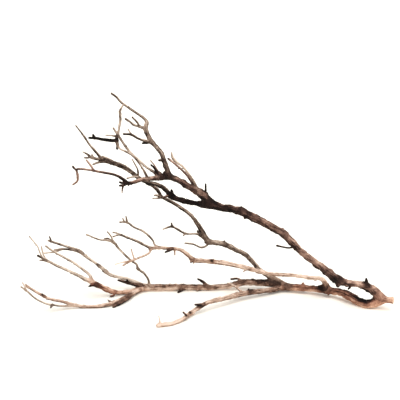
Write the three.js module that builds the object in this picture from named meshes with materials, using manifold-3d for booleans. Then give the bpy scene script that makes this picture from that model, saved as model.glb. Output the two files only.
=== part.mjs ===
import * as THREE from 'three';
import { mergeVertices } from 'three/addons/utils/BufferGeometryUtils.js';
import Module from 'manifold-3d';

// A dead, weathered branch that lies on the ground: one stem end that forks at once into an
// upper and a lower limb, which fork again down to twigs. Millimetres, +Z up, the stem end
// towards +X, and the ground at z = 0. It rests on the bend behind the stem end, on the long
// limb's far fork, on the ground limb and on the front limb's broken end.

const RING_PITCH = 27;        // the most that two rings stand apart along a limb
const GAP = 0.3;              // left between a limb and the one that it grows from
const TIP_ROUND = 0.6;        // how far a broken end stands out, in radii
const STOUT = 5.5;            // a limb that starts thicker than this gets STOUT_SIDES
const SLENDER = 2.6;          // and one that starts thinner than this gets SLENDER_SIDES
const STOUT_SIDES = 8;
const LIMB_SIDES = 6;
const SLENDER_SIDES = 5;
const SPUR_SIDES = 4;
const WELD = 1e-4;            // vertices nearer than this are one
const BARK_DARK = new THREE.Color(0x2e1d17);
const WOOD_PALE = new THREE.Color(0xdcb899);
const BARK_ROUGHNESS = 0.9;
const WOOD_ROUGHNESS = 0.72;

// Each limb is laid out from its root to its tip as stations of x, y, z and radius. tone runs
// from 0, bare pale wood, to 1, black bark, at the root and at the tip. Its spurs are the short
// stubs, thorns and knots that stand on it. A sawn limb has a flat root end.
const LIMBS = [
  {
    name: 'butt',
    sawn: true,
    tone: [0.35, 0.45],
    route: [
      [470, -10, 30, 7.4], [460, -6, 29, 6.7], [451, -1, 28, 7.2], [437, 6, 27, 11.1],
    ],
  },
  {
    name: 'upper_limb',
    tone: [0.5, 0.8],
    route: [
      [442, 4, 28, 9], [428, 8, 46, 10.3], [407, 6, 60, 8.9], [380, 2, 70, 7.7], [354, -2, 74, 7.7],
      [335, -6, 81, 9.7], [319, -9, 91, 11.5], [292, -14, 115, 9.4], [255, -21, 146, 7.8],
      [226, -27, 172, 7.8], [207, -31, 194, 8.6], [181, -35, 220, 8.6], [138, -37, 247, 8.8],
      [96, -33, 268, 9.4], [74, -29, 278, 9.2], [30, -18, 283, 8.1], [-5, -9, 292, 11.2],
    ],
    spurs: {
      top_thorn: [[402, 4, 66, 3.3], [401, 0, 80, 3.3], [400, -2, 86, 1.5]],
      under_thorn: [[363, -2, 72, 2.6], [358, -8, 65, 1.8], [354, -11, 62, 1.3]],
      elbow_knob: [[329, -8, 85, 7.6], [327, -14, 75, 5.1]],
      lone_twig: [[215, -30, 186, 2.5], [196, -44, 186, 1.7], [176, -54, 193, 1.6],
        [165, -60, 198, 1.9]],
      belly_knob: [[91, -32, 269, 4.9], [86, -40, 264, 2.7]],
      shoulder_knob: [[81, -31, 277, 6.2], [78, -27, 284, 3.7]],
      back_knob: [[186, -34, 218, 6.2], [181, -26, 228, 3.2]],
      pale_nub: [[233, -26, 166, 4.5], [244, -32, 164, 2]],
    },
  },
  {
    name: 'lower_limb',
    tone: [0.4, 0.7],
    route: [
      [442, 4, 25, 9], [425, 6, 15, 11.1], [405, 12, 11, 10.9], [384, 30, 12, 10.4],
      [366, 48, 17, 10.5], [347, 64, 19, 9.7], [315, 86, 17, 9], [274, 102, 15, 7.7],
      [243, 110, 14, 8.6], [198, 120, 13, 9.1],
    ],
    spurs: {
      heel_nub: [[317, 84, 17, 4.8], [315, 76, 10, 2.1]],
      ridge_nub: [[251, 108, 15, 5.4], [251, 114, 23, 2.9]],
    },
  },
  {
    name: 'arch_limb',
    tone: [0.2, 0.15],
    route: [
      [312, 86, 18, 6.1], [307, 80, 37, 5], [295, 72, 55, 4.7], [263, 64, 62, 4.3],
      [211, 62, 70, 4.3], [159, 66, 72, 4.5], [127, 72, 78, 5.2], [91, 78, 86, 5.3],
      [38, 78, 98, 5.1], [-14, 72, 106, 4.6], [-41, 68, 111, 4.7], [-59, 64, 128, 4.3],
      [-77, 60, 142, 3.6], [-108, 54, 148, 3.5], [-136, 48, 152, 3.6], [-153, 44, 151, 3.4],
    ],
    spurs: {
      arch_knee: [[-43, 68, 110, 3.9], [-48, 60, 109, 2.9]],
      arch_nub: [[-38, 68, 109, 2.6], [-41, 64, 104, 1.6]],
      arch_eye: [[6, 74, 104, 3.7], [6, 66, 110, 2.6]],
      arch_thorn: [[112, 75, 81, 2.1], [98, 64, 85, 1.3], [89, 58, 82, 1]],
      arch_stub: [[-97, 56, 146, 2.8], [-107, 48, 143, 2.6], [-114, 42, 142, 1.5]],
      arch_peg: [[-91, 57, 145, 1.8], [-90, 50, 132, 1.2]],
    },
  },
  {
    name: 'riser_limb',
    tone: [0.75, 0.8],
    route: [
      [211, 117, 13, 5.9], [185, 124, 28, 6.4], [158, 132, 41, 6.1], [134, 137, 57, 5.4],
      [115, 140, 79, 5.4], [94, 141, 99, 5.6], [66, 140, 114, 5.8], [38, 137, 129, 6.1],
      [-5, 130, 138, 6.1],
    ],
    spurs: {
      riser_nub: [[42, 137, 127, 4.5], [40, 136, 137, 1.7]],
    },
  },
  {
    name: 'long_limb',
    tone: [0.9, 0.3],
    route: [
      [198, 120, 13, 6.7], [169, 125, 20, 9.7], [131, 128, 21, 8.5], [96, 130, 22, 8.4],
      [72, 130, 16, 7.5], [45, 129, 11, 6.6], [7, 127, 8, 6.5], [-30, 126, 9, 7],
      [-68, 125, 10, 7.1], [-106, 123, 10, 8.6], [-143, 124, 9, 9.2], [-173, 120, 11, 7.8],
    ],
    spurs: {
      long_feather: [[-3, 126, 9, 4], [-15, 133, 20, 3], [-30, 139, 27, 1.6]],
      long_stub: [[-68, 125, 10, 4], [-77, 115, 4, 3], [-83, 107, 3, 1.7]],
      long_fleck: [[88, 131, 21, 4], [78, 136, 29, 1.9], [60, 142, 26, 1.9]],
      long_bump: [[-28, 126, 8, 4.6], [-31, 118, 4, 2.2]],
      crest_black_stub: [[-181, 120, 14, 4.6], [-202, 112, 23, 3.7], [-221, 106, 31, 3.3],
        [-242, 100, 40, 1.7]],
      crest_black_nub: [[-218, 107, 30, 2.7], [-219, 102, 40, 1.7]],
    },
  },
  {
    name: 'front_limb',
    tone: [0.45, 0.15],
    route: [
      [203, 118, 13, 4.8], [173, 104, 12, 6.1], [140, 88, 14, 6.1], [104, 69, 18, 6.2],
      [75, 50, 19, 6.2], [43, 26, 21, 5.8], [6, 0, 23, 5.3], [-20, -18, 19, 5], [-50, -46, 9, 5.1],
      [-73, -79, 6, 4.5], [-97, -98, 5, 4.6], [-127, -107, 5, 5.1],
    ],
    spurs: {
      bridge_twig: [[88, 60, 18, 3.2], [80, 64, 26, 2.5], [71, 80, 28, 2.2], [58, 104, 27, 1.9],
        [50, 118, 24, 1.2]],
      front_thorn: [[-17, -22, 22, 3.6], [-26, -30, 26, 2.8], [-37, -36, 29, 1.5]],
      front_fork_spur: [[-58, -60, 9, 2.3], [-60, -70, 16, 1.8], [-67, -74, 25, 1.1]],
      front_nub: [[-49, -49, 11, 3.3], [-50, -58, 19, 1.8]],
      front_whisker: [[-124, -107, 7, 2.5], [-125, -104, 17, 1.2], [-127, -102, 27, 1]],
      front_knot_spur: [[106, 70, 18, 4.5], [104, 74, 23, 2.4]],
    },
  },
  {
    name: 'dark_limb',
    tone: [1, 0.9],
    route: [
      [-3, -9, 291, 8.7], [-20, -2, 287, 9.2], [-32, 6, 286, 5.5], [-60, 24, 285, 5],
      [-83, 40, 287, 5.3], [-100, 52, 292, 6.6],
    ],
    spurs: {
      dark_knob: [[-94, 48, 288, 5.1], [-97, 44, 308, 2.2]],
      dark_spur: [[-99, 52, 290, 3.1], [-110, 44, 293, 1.8], [-117, 40, 291, 1.3]],
    },
  },
  {
    name: 'inner_limb',
    tone: [0.8, 0.6],
    route: [
      [-100, 52, 292, 5.8], [-111, 58, 304, 4.8], [-124, 64, 313, 4.6], [-142, 70, 318, 4.1],
      [-163, 74, 322, 3.3], [-181, 76, 331, 3.8], [-201, 77, 348, 4.3], [-226, 75, 364, 4.7],
      [-253, 70, 375, 4.4], [-275, 64, 386, 4.5],
    ],
    spurs: {
      inner_spur_low: [[-260, 68, 378, 3.3], [-279, 60, 378, 2], [-294, 54, 374, 1.3]],
      inner_spur_high: [[-238, 72, 370, 2.5], [-254, 78, 380, 1.5], [-272, 83, 387, 1.3]],
      inner_prong: [[-176, 75, 329, 2.6], [-191, 66, 338, 1.7], [-209, 58, 336, 1.4]],
      inner_whisker: [[-183, 76, 333, 2], [-183, 68, 355, 1.3], [-190, 62, 373, 1.1],
        [-196, 56, 387, 1]],
    },
  },
  {
    name: 'inner_high_twig',
    tone: [0.45, 0.5],
    route: [
      [-273, 64, 385, 3], [-284, 60, 401, 2.6], [-302, 53, 426, 2], [-316, 46, 452, 1.6],
      [-332, 40, 477, 1.1],
    ],
  },
  {
    name: 'inner_low_twig',
    tone: [0.5, 0.5],
    route: [
      [-270, 65, 383, 2.8], [-287, 56, 388, 2.9], [-299, 50, 394, 2.8], [-308, 46, 403, 1.4],
      [-317, 43, 409, 1.1],
    ],
    spurs: {
      low_prong: [[-299, 50, 394, 2], [-306, 44, 394, 1.5], [-314, 40, 395, 1.1]],
      low_bump: [[-294, 52, 392, 2.5], [-296, 54, 398, 1.5]],
    },
  },
  {
    name: 'crown_limb',
    tone: [0.85, 0.7],
    route: [
      [-3, -9, 291, 9.9], [-14, -14, 311, 10.4], [-32, -22, 327, 8.9], [-54, -32, 343, 7.1],
      [-79, -42, 362, 6.1], [-104, -50, 375, 6.8],
    ],
    spurs: {
      crown_spike: [[-10, -12, 305, 3.2], [-11, -14, 325, 1.7], [-11, -16, 343, 1.2]],
    },
  },
  {
    name: 'tall_branch',
    tone: [0.6, 0.35],
    route: [
      [-100, -49, 373, 5.3], [-104, -47, 389, 4.8], [-111, -43, 408, 4.4], [-118, -38, 428, 3.9],
      [-130, -32, 442, 3.9], [-144, -26, 456, 4.7], [-152, -20, 470, 4.1], [-157, -15, 485, 4.2],
      [-154, -9, 498, 3.4], [-159, -5, 505, 2.4], [-186, 6, 522, 1.7], [-218, 20, 542, 1.7],
      [-228, 26, 552, 1.7], [-241, 33, 560, 1.6],
    ],
    spurs: {
      tall_knob: [[-113, -42, 412, 3.1], [-124, -50, 414, 1.7]],
      tall_tooth: [[-144, -26, 453, 3.2], [-155, -20, 450, 2.4], [-165, -14, 447, 1.3]],
    },
  },
  {
    name: 'tall_low_twig',
    tone: [0.6, 0.95],
    route: [
      [-144, -26, 455, 3.4], [-157, -34, 458, 2.7], [-174, -44, 467, 1.7], [-189, -52, 478, 2],
      [-207, -60, 482, 1.5],
    ],
    spurs: {
      tall_low_prong: [[-188, -52, 477, 1.4], [-193, -48, 484, 1.2], [-197, -46, 490, 1.1]],
    },
  },
  {
    name: 'tall_high_twig',
    tone: [0.4, 0.5],
    route: [
      [-157, -15, 483, 2.9], [-171, -8, 487, 2.7], [-185, 0, 489, 2.2], [-196, 6, 496, 1.6],
      [-207, 14, 501, 1.6],
    ],
    spurs: {
      tall_high_prong: [[-172, -7, 487, 1.9], [-177, -14, 499, 1.6], [-188, -22, 514, 1]],
    },
  },
  {
    name: 'sweep_limb',
    tone: [0.95, 0.6],
    route: [
      [-101, -49, 374, 6.1], [-115, -55, 373, 6.3], [-129, -61, 373, 5.6], [-148, -69, 373, 3.9],
      [-164, -76, 374, 3.4], [-183, -86, 370, 2.9], [-197, -94, 370, 3.2], [-207, -101, 381, 2.9],
      [-224, -109, 394, 2], [-260, -122, 406, 1.9], [-296, -134, 416, 1.6], [-312, -140, 417, 1.7],
      [-310, -144, 404, 2.1], [-311, -146, 391, 1.9], [-321, -148, 383, 1.2],
    ],
    spurs: {
      knuckle_top: [[-119, -57, 375, 6], [-125, -54, 382, 4.8], [-131, -51, 385, 2.9]],
      knuckle_back: [[-107, -52, 374, 5.3], [-111, -44, 380, 3.4]],
      knuckle_prong: [[-127, -54, 380, 2.4], [-135, -64, 399, 1.6], [-142, -70, 408, 1.3]],
      knuckle_hair: [[-124, -56, 381, 1.9], [-134, -48, 399, 1.1], [-144, -44, 411, 1]],
      sweep_thorn_a: [[-203, -98, 374, 3.1], [-209, -106, 374, 1.9], [-215, -110, 377, 1.3]],
      sweep_thorn_b: [[-199, -95, 370, 3.1], [-208, -89, 363, 2], [-217, -86, 361, 1.4]],
      sweep_peg: [[-208, -89, 363, 1.4], [-211, -87, 354, 1.2], [-212, -86, 344, 1.1]],
      sweep_feather: [[-274, -127, 411, 1.8], [-282, -120, 422, 1.5], [-292, -114, 433, 0.9]],
      sweep_bulb: [[-313, -140, 416, 1.7], [-317, -137, 418, 1.3], [-321, -135, 422, 1.9]],
    },
  },
  {
    name: 'pale_cross_twig',
    tone: [0.7, 0.2],
    route: [
      [-124, -59, 375, 3.6], [-139, -52, 387, 2.4], [-156, -44, 396, 2.2], [-176, -34, 412, 2.6],
      [-197, -22, 429, 2.4], [-215, -12, 451, 1.8], [-227, -4, 468, 2.3], [-236, 0, 481, 1.5],
    ],
  },
  {
    name: 'dark_cross_twig',
    tone: [0.5, 0.9],
    route: [
      [-150, -70, 373, 2.6], [-157, -70, 388, 1.8], [-169, -68, 409, 1.8], [-182, -65, 426, 1.9],
      [-200, -60, 437, 1.7], [-218, -54, 445, 1.8], [-224, -50, 457, 3.1], [-225, -44, 473, 2.6],
    ],
    spurs: {
      black_needle: [[-225, -44, 472, 1.9], [-236, -52, 476, 1.3], [-249, -60, 479, 1]],
      cross_drop: [[-223, -51, 454, 1.9], [-225, -47, 442, 1.4]],
    },
  },
  {
    name: 'black_twig',
    tone: [1, 1],
    route: [
      [-224, -48, 463, 3.1], [-238, -40, 461, 2.6], [-260, -28, 460, 1.9], [-276, -20, 461, 1.9],
      [-294, -12, 460, 1.5],
    ],
    spurs: {
      black_lump: [[-281, -18, 461, 2.2], [-284, -16, 467, 1.8]],
    },
  },
  {
    name: 'upright_twig',
    tone: [0.2, 0.25],
    route: [
      [-225, -6, 464, 2], [-223, -2, 477, 2.2], [-219, 2, 501, 2.9], [-219, 4, 523, 2.6],
      [-212, 6, 538, 1.2],
    ],
  },
  {
    name: 'twin_dark_twig',
    tone: [0.8, 0.8],
    route: [
      [-37, -24, 331, 3.4], [-46, -16, 350, 2.2], [-59, -8, 366, 2.1], [-82, 2, 386, 2],
      [-103, 12, 400, 1.5],
    ],
  },
  {
    name: 'twin_pale_twig',
    tone: [0.3, 0.3],
    route: [
      [-30, -21, 326, 3.2], [-39, -30, 352, 2.3], [-52, -40, 376, 1.9], [-68, -50, 399, 1.7],
      [-87, -60, 416, 1.9], [-93, -64, 437, 1.2],
    ],
  },
  {
    name: 'riser_top',
    tone: [0.8, 0.4],
    route: [
      [-2, 130, 137, 5.6], [-14, 126, 159, 5.8], [-29, 122, 187, 4.9], [-50, 117, 218, 3.7],
      [-77, 112, 241, 3.4], [-103, 107, 259, 3.3], [-127, 103, 273, 3.2],
    ],
    spurs: {
      riser_top_tip_a: [[-126, 103, 273, 2.6], [-135, 96, 278, 1.8], [-142, 92, 280, 1.3]],
      riser_top_tip_b: [[-124, 104, 271, 2.6], [-135, 108, 267, 1.6], [-147, 112, 265, 1.2]],
    },
  },
  {
    name: 'riser_fork',
    tone: [0.6, 0.6],
    route: [
      [-126, 103, 273, 3.1], [-133, 106, 286, 3.8], [-147, 110, 299, 3.1], [-164, 114, 305, 1.9],
    ],
  },
  {
    name: 'riser_side_twig',
    tone: [0.5, 0.7],
    route: [
      [-5, 130, 139, 3.5], [-24, 122, 158, 2.6], [-35, 114, 166, 2.1], [-64, 100, 172, 2],
      [-82, 92, 186, 2], [-98, 84, 197, 2.2], [-111, 78, 196, 1.8], [-120, 74, 193, 1],
    ],
    spurs: {
      side_twig_peg: [[-97, 84, 197, 2.1], [-99, 88, 204, 1.6]],
      side_twig_nub: [[-25, 121, 160, 2.4], [-31, 126, 169, 1.9]],
      side_twig_hook: [[-63, 100, 172, 1.8], [-69, 94, 168, 1]],
    },
  },
  {
    name: 'riser_low_twig',
    tone: [0.7, 0.7],
    route: [
      [-1, 131, 135, 2.4], [-8, 124, 129, 1.7], [-21, 116, 127, 1.6], [-43, 106, 140, 1.3],
      [-64, 98, 146, 1.2],
    ],
  },
  {
    name: 'arch_mid_twig',
    tone: [0.35, 0.45],
    route: [
      [-150, 45, 151, 2.8], [-164, 40, 160, 2.6], [-189, 30, 178, 2.4], [-211, 22, 190, 2.2],
      [-230, 14, 200, 1.8], [-244, 8, 197, 1.3],
    ],
    spurs: {
      mid_twig_fork: [[-225, 16, 198, 1.8], [-236, 22, 201, 1.3], [-246, 26, 202, 1.1]],
    },
  },
  {
    name: 'arch_low_twig',
    tone: [0.2, 0.5],
    route: [
      [-150, 45, 151, 2.6], [-157, 34, 142, 2.1], [-181, 20, 135, 1.8], [-205, 6, 130, 1.9],
      [-220, -2, 123, 1.7],
    ],
    spurs: {
      low_twig_pale: [[-201, 8, 131, 1.8], [-221, -4, 132, 1.4], [-239, -12, 130, 1.1]],
      low_twig_hair: [[-192, 13, 132, 1.5], [-197, 20, 145, 1.2], [-201, 24, 157, 1]],
    },
  },
  {
    name: 'arch_high_twig',
    tone: [0.25, 0.35],
    route: [
      [-131, 49, 151, 2.6], [-142, 54, 158, 1.9], [-148, 60, 169, 1.9], [-171, 68, 189, 2.1],
      [-196, 76, 198, 2.1], [-214, 82, 209, 1.9], [-233, 88, 208, 1.4],
    ],
    spurs: {
      high_twig_peg_a: [[-214, 82, 209, 1.9], [-215, 78, 220, 1.7], [-216, 76, 227, 1.2]],
      high_twig_peg_b: [[-221, 84, 209, 1.6], [-225, 90, 216, 1.4]],
    },
  },
  {
    name: 'crest_limb',
    tone: [0.5, 0.35],
    route: [
      [-170, 123, 10, 5.9], [-195, 130, 19, 5.4], [-217, 136, 27, 4], [-244, 140, 32, 3.5],
      [-268, 142, 39, 3.6], [-285, 144, 53, 4], [-305, 145, 70, 2.7], [-331, 145, 90, 3.2],
      [-349, 144, 107, 3.4], [-373, 142, 117, 2.8], [-404, 139, 129, 2.3], [-428, 136, 139, 2],
    ],
    spurs: {
      crest_tip_peg: [[-423, 137, 136, 2.1], [-423, 133, 146, 1.7], [-425, 131, 152, 1.2]],
      crest_knee: [[-279, 143, 47, 4], [-285, 136, 52, 2.7]],
      crest_nub: [[-297, 145, 63, 3], [-300, 140, 69, 1.9]],
    },
  },
  {
    name: 'crest_side_twig',
    tone: [0.6, 0.5],
    route: [
      [-342, 145, 100, 2.7], [-357, 140, 108, 2.1], [-377, 134, 115, 1.9], [-395, 128, 118, 1.9],
      [-412, 123, 117, 1.3],
    ],
    spurs: {
      side_feather: [[-393, 129, 117, 1.7], [-410, 119, 113, 1.3], [-439, 108, 114, 1.2]],
    },
  },
  {
    name: 'fan_limb',
    tone: [0.2, 0.5],
    route: [
      [-170, 123, 9, 5.9], [-196, 110, 8, 5.5], [-222, 96, 8, 5.1], [-246, 88, 10, 5.2],
      [-269, 83, 20, 5.8], [-295, 79, 34, 6.1], [-314, 76, 48, 5.3],
    ],
    spurs: {
      fan_stub: [[-297, 78, 36, 4.8], [-307, 70, 39, 3.7], [-314, 66, 38, 2.4]],
      fan_hook: [[-252, 86, 12, 2.9], [-254, 80, 6, 1.6], [-262, 76, 4, 1.2]],
    },
  },
  {
    name: 'fan_high_twig',
    tone: [0.3, 0.4],
    route: [
      [-310, 76, 46, 4], [-314, 80, 60, 3.2], [-331, 86, 74, 2.9], [-360, 94, 93, 2.5],
      [-384, 100, 105, 2.4], [-408, 106, 117, 2.1], [-432, 112, 132, 1.9],
    ],
  },
  {
    name: 'fan_low_twig',
    tone: [0.3, 0.3],
    route: [
      [-310, 76, 45, 4.7], [-330, 69, 58, 4.2], [-359, 58, 79, 3.1], [-394, 48, 101, 2.6],
      [-420, 39, 119, 2.2], [-437, 34, 123, 1.2],
    ],
    spurs: {
      fan_tip_bulb: [[-422, 38, 120, 1.9], [-432, 30, 131, 1.5], [-440, 24, 139, 2.2]],
      fan_tip_rise: [[-418, 40, 117, 1.9], [-428, 46, 129, 1.6], [-432, 50, 139, 1.3],
        [-435, 54, 152, 1.2]],
      fan_tip_curl: [[-430, 33, 128, 1.5], [-436, 30, 147, 1.3], [-441, 28, 164, 1.2],
        [-449, 26, 176, 1],
        [-459, 22, 193, 0.9]],
    },
  },
  {
    name: 'ground_limb',
    tone: [0.4, 0.3],
    route: [
      [-178, 118, 9, 5.1], [-198, 92, 9, 5.6], [-215, 64, 9, 5.8], [-237, 36, 8, 5.7],
      [-261, 17, 7, 4.3], [-289, 9, 5, 4], [-320, 8, 4, 3.8], [-350, 4, 11, 3.5], [-380, -2, 23, 3],
      [-413, -6, 33, 2.6], [-439, -10, 50, 2.6], [-467, -14, 71, 2],
    ],
    spurs: {
      ground_char: [[-212, 66, 8, 4.8], [-224, 42, 6, 4.2], [-238, 22, 5, 3.6], [-249, 10, 3, 2.1]],
      ground_nub: [[-254, 24, 6, 3.6], [-261, 28, 11, 2.1]],
      ground_tip_peg: [[-463, -13, 68, 1.8], [-468, -18, 78, 1.1]],
    },
  },
  {
    name: 'ground_side_twig',
    tone: [0.25, 0.3],
    route: [
      [-345, 5, 9, 2.6], [-365, -2, 10, 1.9], [-392, -14, 17, 1.8], [-415, -26, 27, 1.8],
      [-440, -38, 46, 1.6], [-459, -48, 70, 1.8], [-473, -54, 85, 1.5],
    ],
    spurs: {
      ground_side_peg: [[-463, -50, 74, 1.6], [-464, -50, 83, 1.4], [-470, -47, 93, 1.1]],
    },
  },
  {
    name: 'stray_twig',
    tone: [0.3, 0.3],
    route: [
      [-162, 124, 11, 3], [-163, 120, 32, 2.5], [-174, 113, 54, 2.3], [-189, 106, 70, 2.4],
      [-193, 99, 86, 2.1], [-208, 91, 101, 2], [-236, 82, 135, 2.2], [-250, 74, 157, 2.6],
      [-266, 68, 165, 2.5], [-284, 61, 169, 1.7], [-316, 50, 187, 1.4],
    ],
    spurs: {
      stray_knob: [[-188, 106, 68, 2.4], [-192, 101, 73, 1.9]],
      stray_web: [[-252, 73, 159, 2.3], [-265, 80, 165, 1.6], [-274, 85, 163, 1.2]],
      stray_rise: [[-249, 75, 155, 2.3], [-252, 66, 168, 1.7], [-255, 60, 179, 1.6],
        [-263, 52, 194, 1.2]],
    },
  },
];

const wasm = await Module();
wasm.setup();

function curveThrough(route) {
  const points = route.map(([x, y, z]) => new THREE.Vector3(x, y, z));
  return new THREE.CatmullRomCurve3(points, false, 'centripetal');
}

// The rings of one tube: centre, radius and a frame that is carried along without twist.
function ringsAlong(route, extra) {
  const curve = curveThrough(route);
  const last = route.length - 1;
  const rings = [];
  for (let i = 0; i < last; i += 1) {
    const start = new THREE.Vector3(...route[i]);
    const end = new THREE.Vector3(...route[i + 1]);
    const count = Math.max(1, Math.round(start.distanceTo(end) / RING_PITCH));
    for (let k = 0; k < count; k += 1) rings.push((i + k / count) / last);
  }
  rings.push(1);
  const normal = new THREE.Vector3(0, 0, 1);
  return rings.map((t) => {
    const station = Math.min(Math.floor(t * last), last - 1);
    const share = t * last - station;
    const radius = THREE.MathUtils.lerp(route[station][3], route[station + 1][3], share) + extra;
    const along = curve.getTangent(t);
    const across = new THREE.Vector3().crossVectors(along, normal);
    if (across.lengthSq() < WELD) across.set(0, 1, 0);
    across.normalize();
    normal.crossVectors(across, along).normalize();
    return { centre: curve.getPoint(t), radius, along, across, up: normal.clone() };
  });
}

// A closed tube of round section: a lathed profile that counts the rings up its axis, then each
// ring is carried to its own place on the curve. Both ends close in a low point, or flat.
function tubeGeometry(route, sides, extra, rootRound = TIP_ROUND) {
  const rings = ringsAlong(route, extra);
  const first = rings[0];
  const last = rings[rings.length - 1];
  const profile = [
    new THREE.Vector2(0, -1),
    ...rings.map((ring, i) => new THREE.Vector2(ring.radius, i)),
    new THREE.Vector2(0, rings.length),
  ];
  const poles = new Map([
    [-1, first.centre.clone().addScaledVector(first.along, -rootRound * first.radius)],
    [rings.length, last.centre.clone().addScaledVector(last.along, TIP_ROUND * last.radius)],
  ]);
  const geometry = new THREE.LatheGeometry(profile, sides);
  const position = geometry.attributes.position;
  const point = new THREE.Vector3();
  for (let i = 0; i < position.count; i += 1) {
    const row = Math.round(position.getY(i));
    if (poles.has(row)) {
      point.copy(poles.get(row));
    } else {
      const ring = rings[row];
      point.copy(ring.centre);
      point.addScaledVector(ring.across, position.getX(i));
      point.addScaledVector(ring.up, position.getZ(i));
    }
    position.setXYZ(i, point.x, point.y, point.z);
  }
  return geometry;
}

function solidFrom(geometry) {
  geometry.deleteAttribute('normal');
  geometry.deleteAttribute('uv');
  const welded = mergeVertices(geometry, WELD);
  const corners = welded.index.array;
  const triangles = [];
  for (let i = 0; i < corners.length; i += 3) {
    const [a, b, c] = [corners[i], corners[i + 1], corners[i + 2]];
    if (a !== b && b !== c && c !== a) triangles.push(a, b, c);
  }
  return new wasm.Manifold(new wasm.Mesh({
    numProp: 3,
    vertProperties: welded.attributes.position.array,
    triVerts: new Uint32Array(triangles),
  }));
}

function sidesFor(radius) {
  if (radius > STOUT) return STOUT_SIDES;
  return radius < SLENDER ? SLENDER_SIDES : LIMB_SIDES;
}

// One limb with its spurs joined on, its radii larger by extra.
function limbSolid({ route, sawn, spurs = {} }, extra = 0) {
  const rootRound = sawn ? 0 : TIP_ROUND;
  const limb = solidFrom(tubeGeometry(route, sidesFor(route[0][3]), extra, rootRound));
  return Object.values(spurs).reduce(
    (solid, spur) => solid.add(solidFrom(tubeGeometry(spur, SPUR_SIDES, extra))),
    limb,
  );
}

function boxOf(solid) {
  const { min, max } = solid.boundingBox();
  return new THREE.Box3(new THREE.Vector3(...min), new THREE.Vector3(...max));
}

function largestPiece(solid) {
  return solid.decompose().reduce((best, piece) => (piece.volume() > best.volume() ? piece : best));
}

// A limb stops a gap short of every limb that is already standing.
function trimmed(solid, standing) {
  const box = boxOf(solid);
  const near = standing.filter((other) => box.intersectsBox(other.box));
  return largestPiece(near.reduce((left, other) => left.subtract(other.solid), solid));
}

function geometryFrom(solid) {
  const { vertProperties, triVerts } = solid.getMesh();
  const geometry = new THREE.BufferGeometry();
  geometry.setAttribute('position', new THREE.BufferAttribute(vertProperties, 3));
  geometry.setIndex(new THREE.BufferAttribute(triVerts, 1));
  geometry.computeVertexNormals();
  return geometry;
}

function barkMaterial([root, tip]) {
  const tone = (root + tip) / 2;
  return new THREE.MeshStandardMaterial({
    color: WOOD_PALE.clone().lerp(BARK_DARK, tone),
    roughness: THREE.MathUtils.lerp(WOOD_ROUGHNESS, BARK_ROUGHNESS, tone),
    metalness: 0,
  });
}

const branch = new THREE.Group();
const standing = [];
for (const limb of LIMBS) {
  const solid = trimmed(limbSolid(limb), standing);
  const grown = limbSolid(limb, GAP);
  standing.push({ solid: grown, box: boxOf(grown) });
  const mesh = new THREE.Mesh(geometryFrom(solid), barkMaterial(limb.tone));
  mesh.name = limb.name;
  branch.add(mesh);
}

export default branch;
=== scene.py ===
"""A dead, weathered tree branch that lies on the ground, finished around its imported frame."""
import math

import bpy
import numpy as np
from bpy.props import FloatProperty, FloatVectorProperty, PointerProperty
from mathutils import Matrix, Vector


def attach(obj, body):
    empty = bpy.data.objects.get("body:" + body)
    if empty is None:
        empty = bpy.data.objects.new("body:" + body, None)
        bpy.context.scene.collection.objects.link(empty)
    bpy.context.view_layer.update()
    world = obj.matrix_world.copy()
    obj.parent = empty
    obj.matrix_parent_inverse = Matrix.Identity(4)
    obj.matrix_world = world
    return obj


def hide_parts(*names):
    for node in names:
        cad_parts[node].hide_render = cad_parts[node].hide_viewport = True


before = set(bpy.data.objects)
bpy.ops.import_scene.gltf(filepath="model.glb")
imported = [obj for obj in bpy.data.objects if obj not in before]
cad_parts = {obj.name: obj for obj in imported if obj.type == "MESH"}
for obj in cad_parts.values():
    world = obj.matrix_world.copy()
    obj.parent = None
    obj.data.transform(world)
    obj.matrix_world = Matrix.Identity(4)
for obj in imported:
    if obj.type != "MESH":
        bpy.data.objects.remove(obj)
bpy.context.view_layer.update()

bl_info = {
    "name": "Fallen Branch",
    "version": (1, 0, 0),
    "blender": (4, 5, 0),
    "location": "View3D > Sidebar > Branch",
    "description": "Builds a weathered fallen branch limb by limb, with its bark, wood and light",
    "category": "Add Mesh",
}

MM = 0.001

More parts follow.
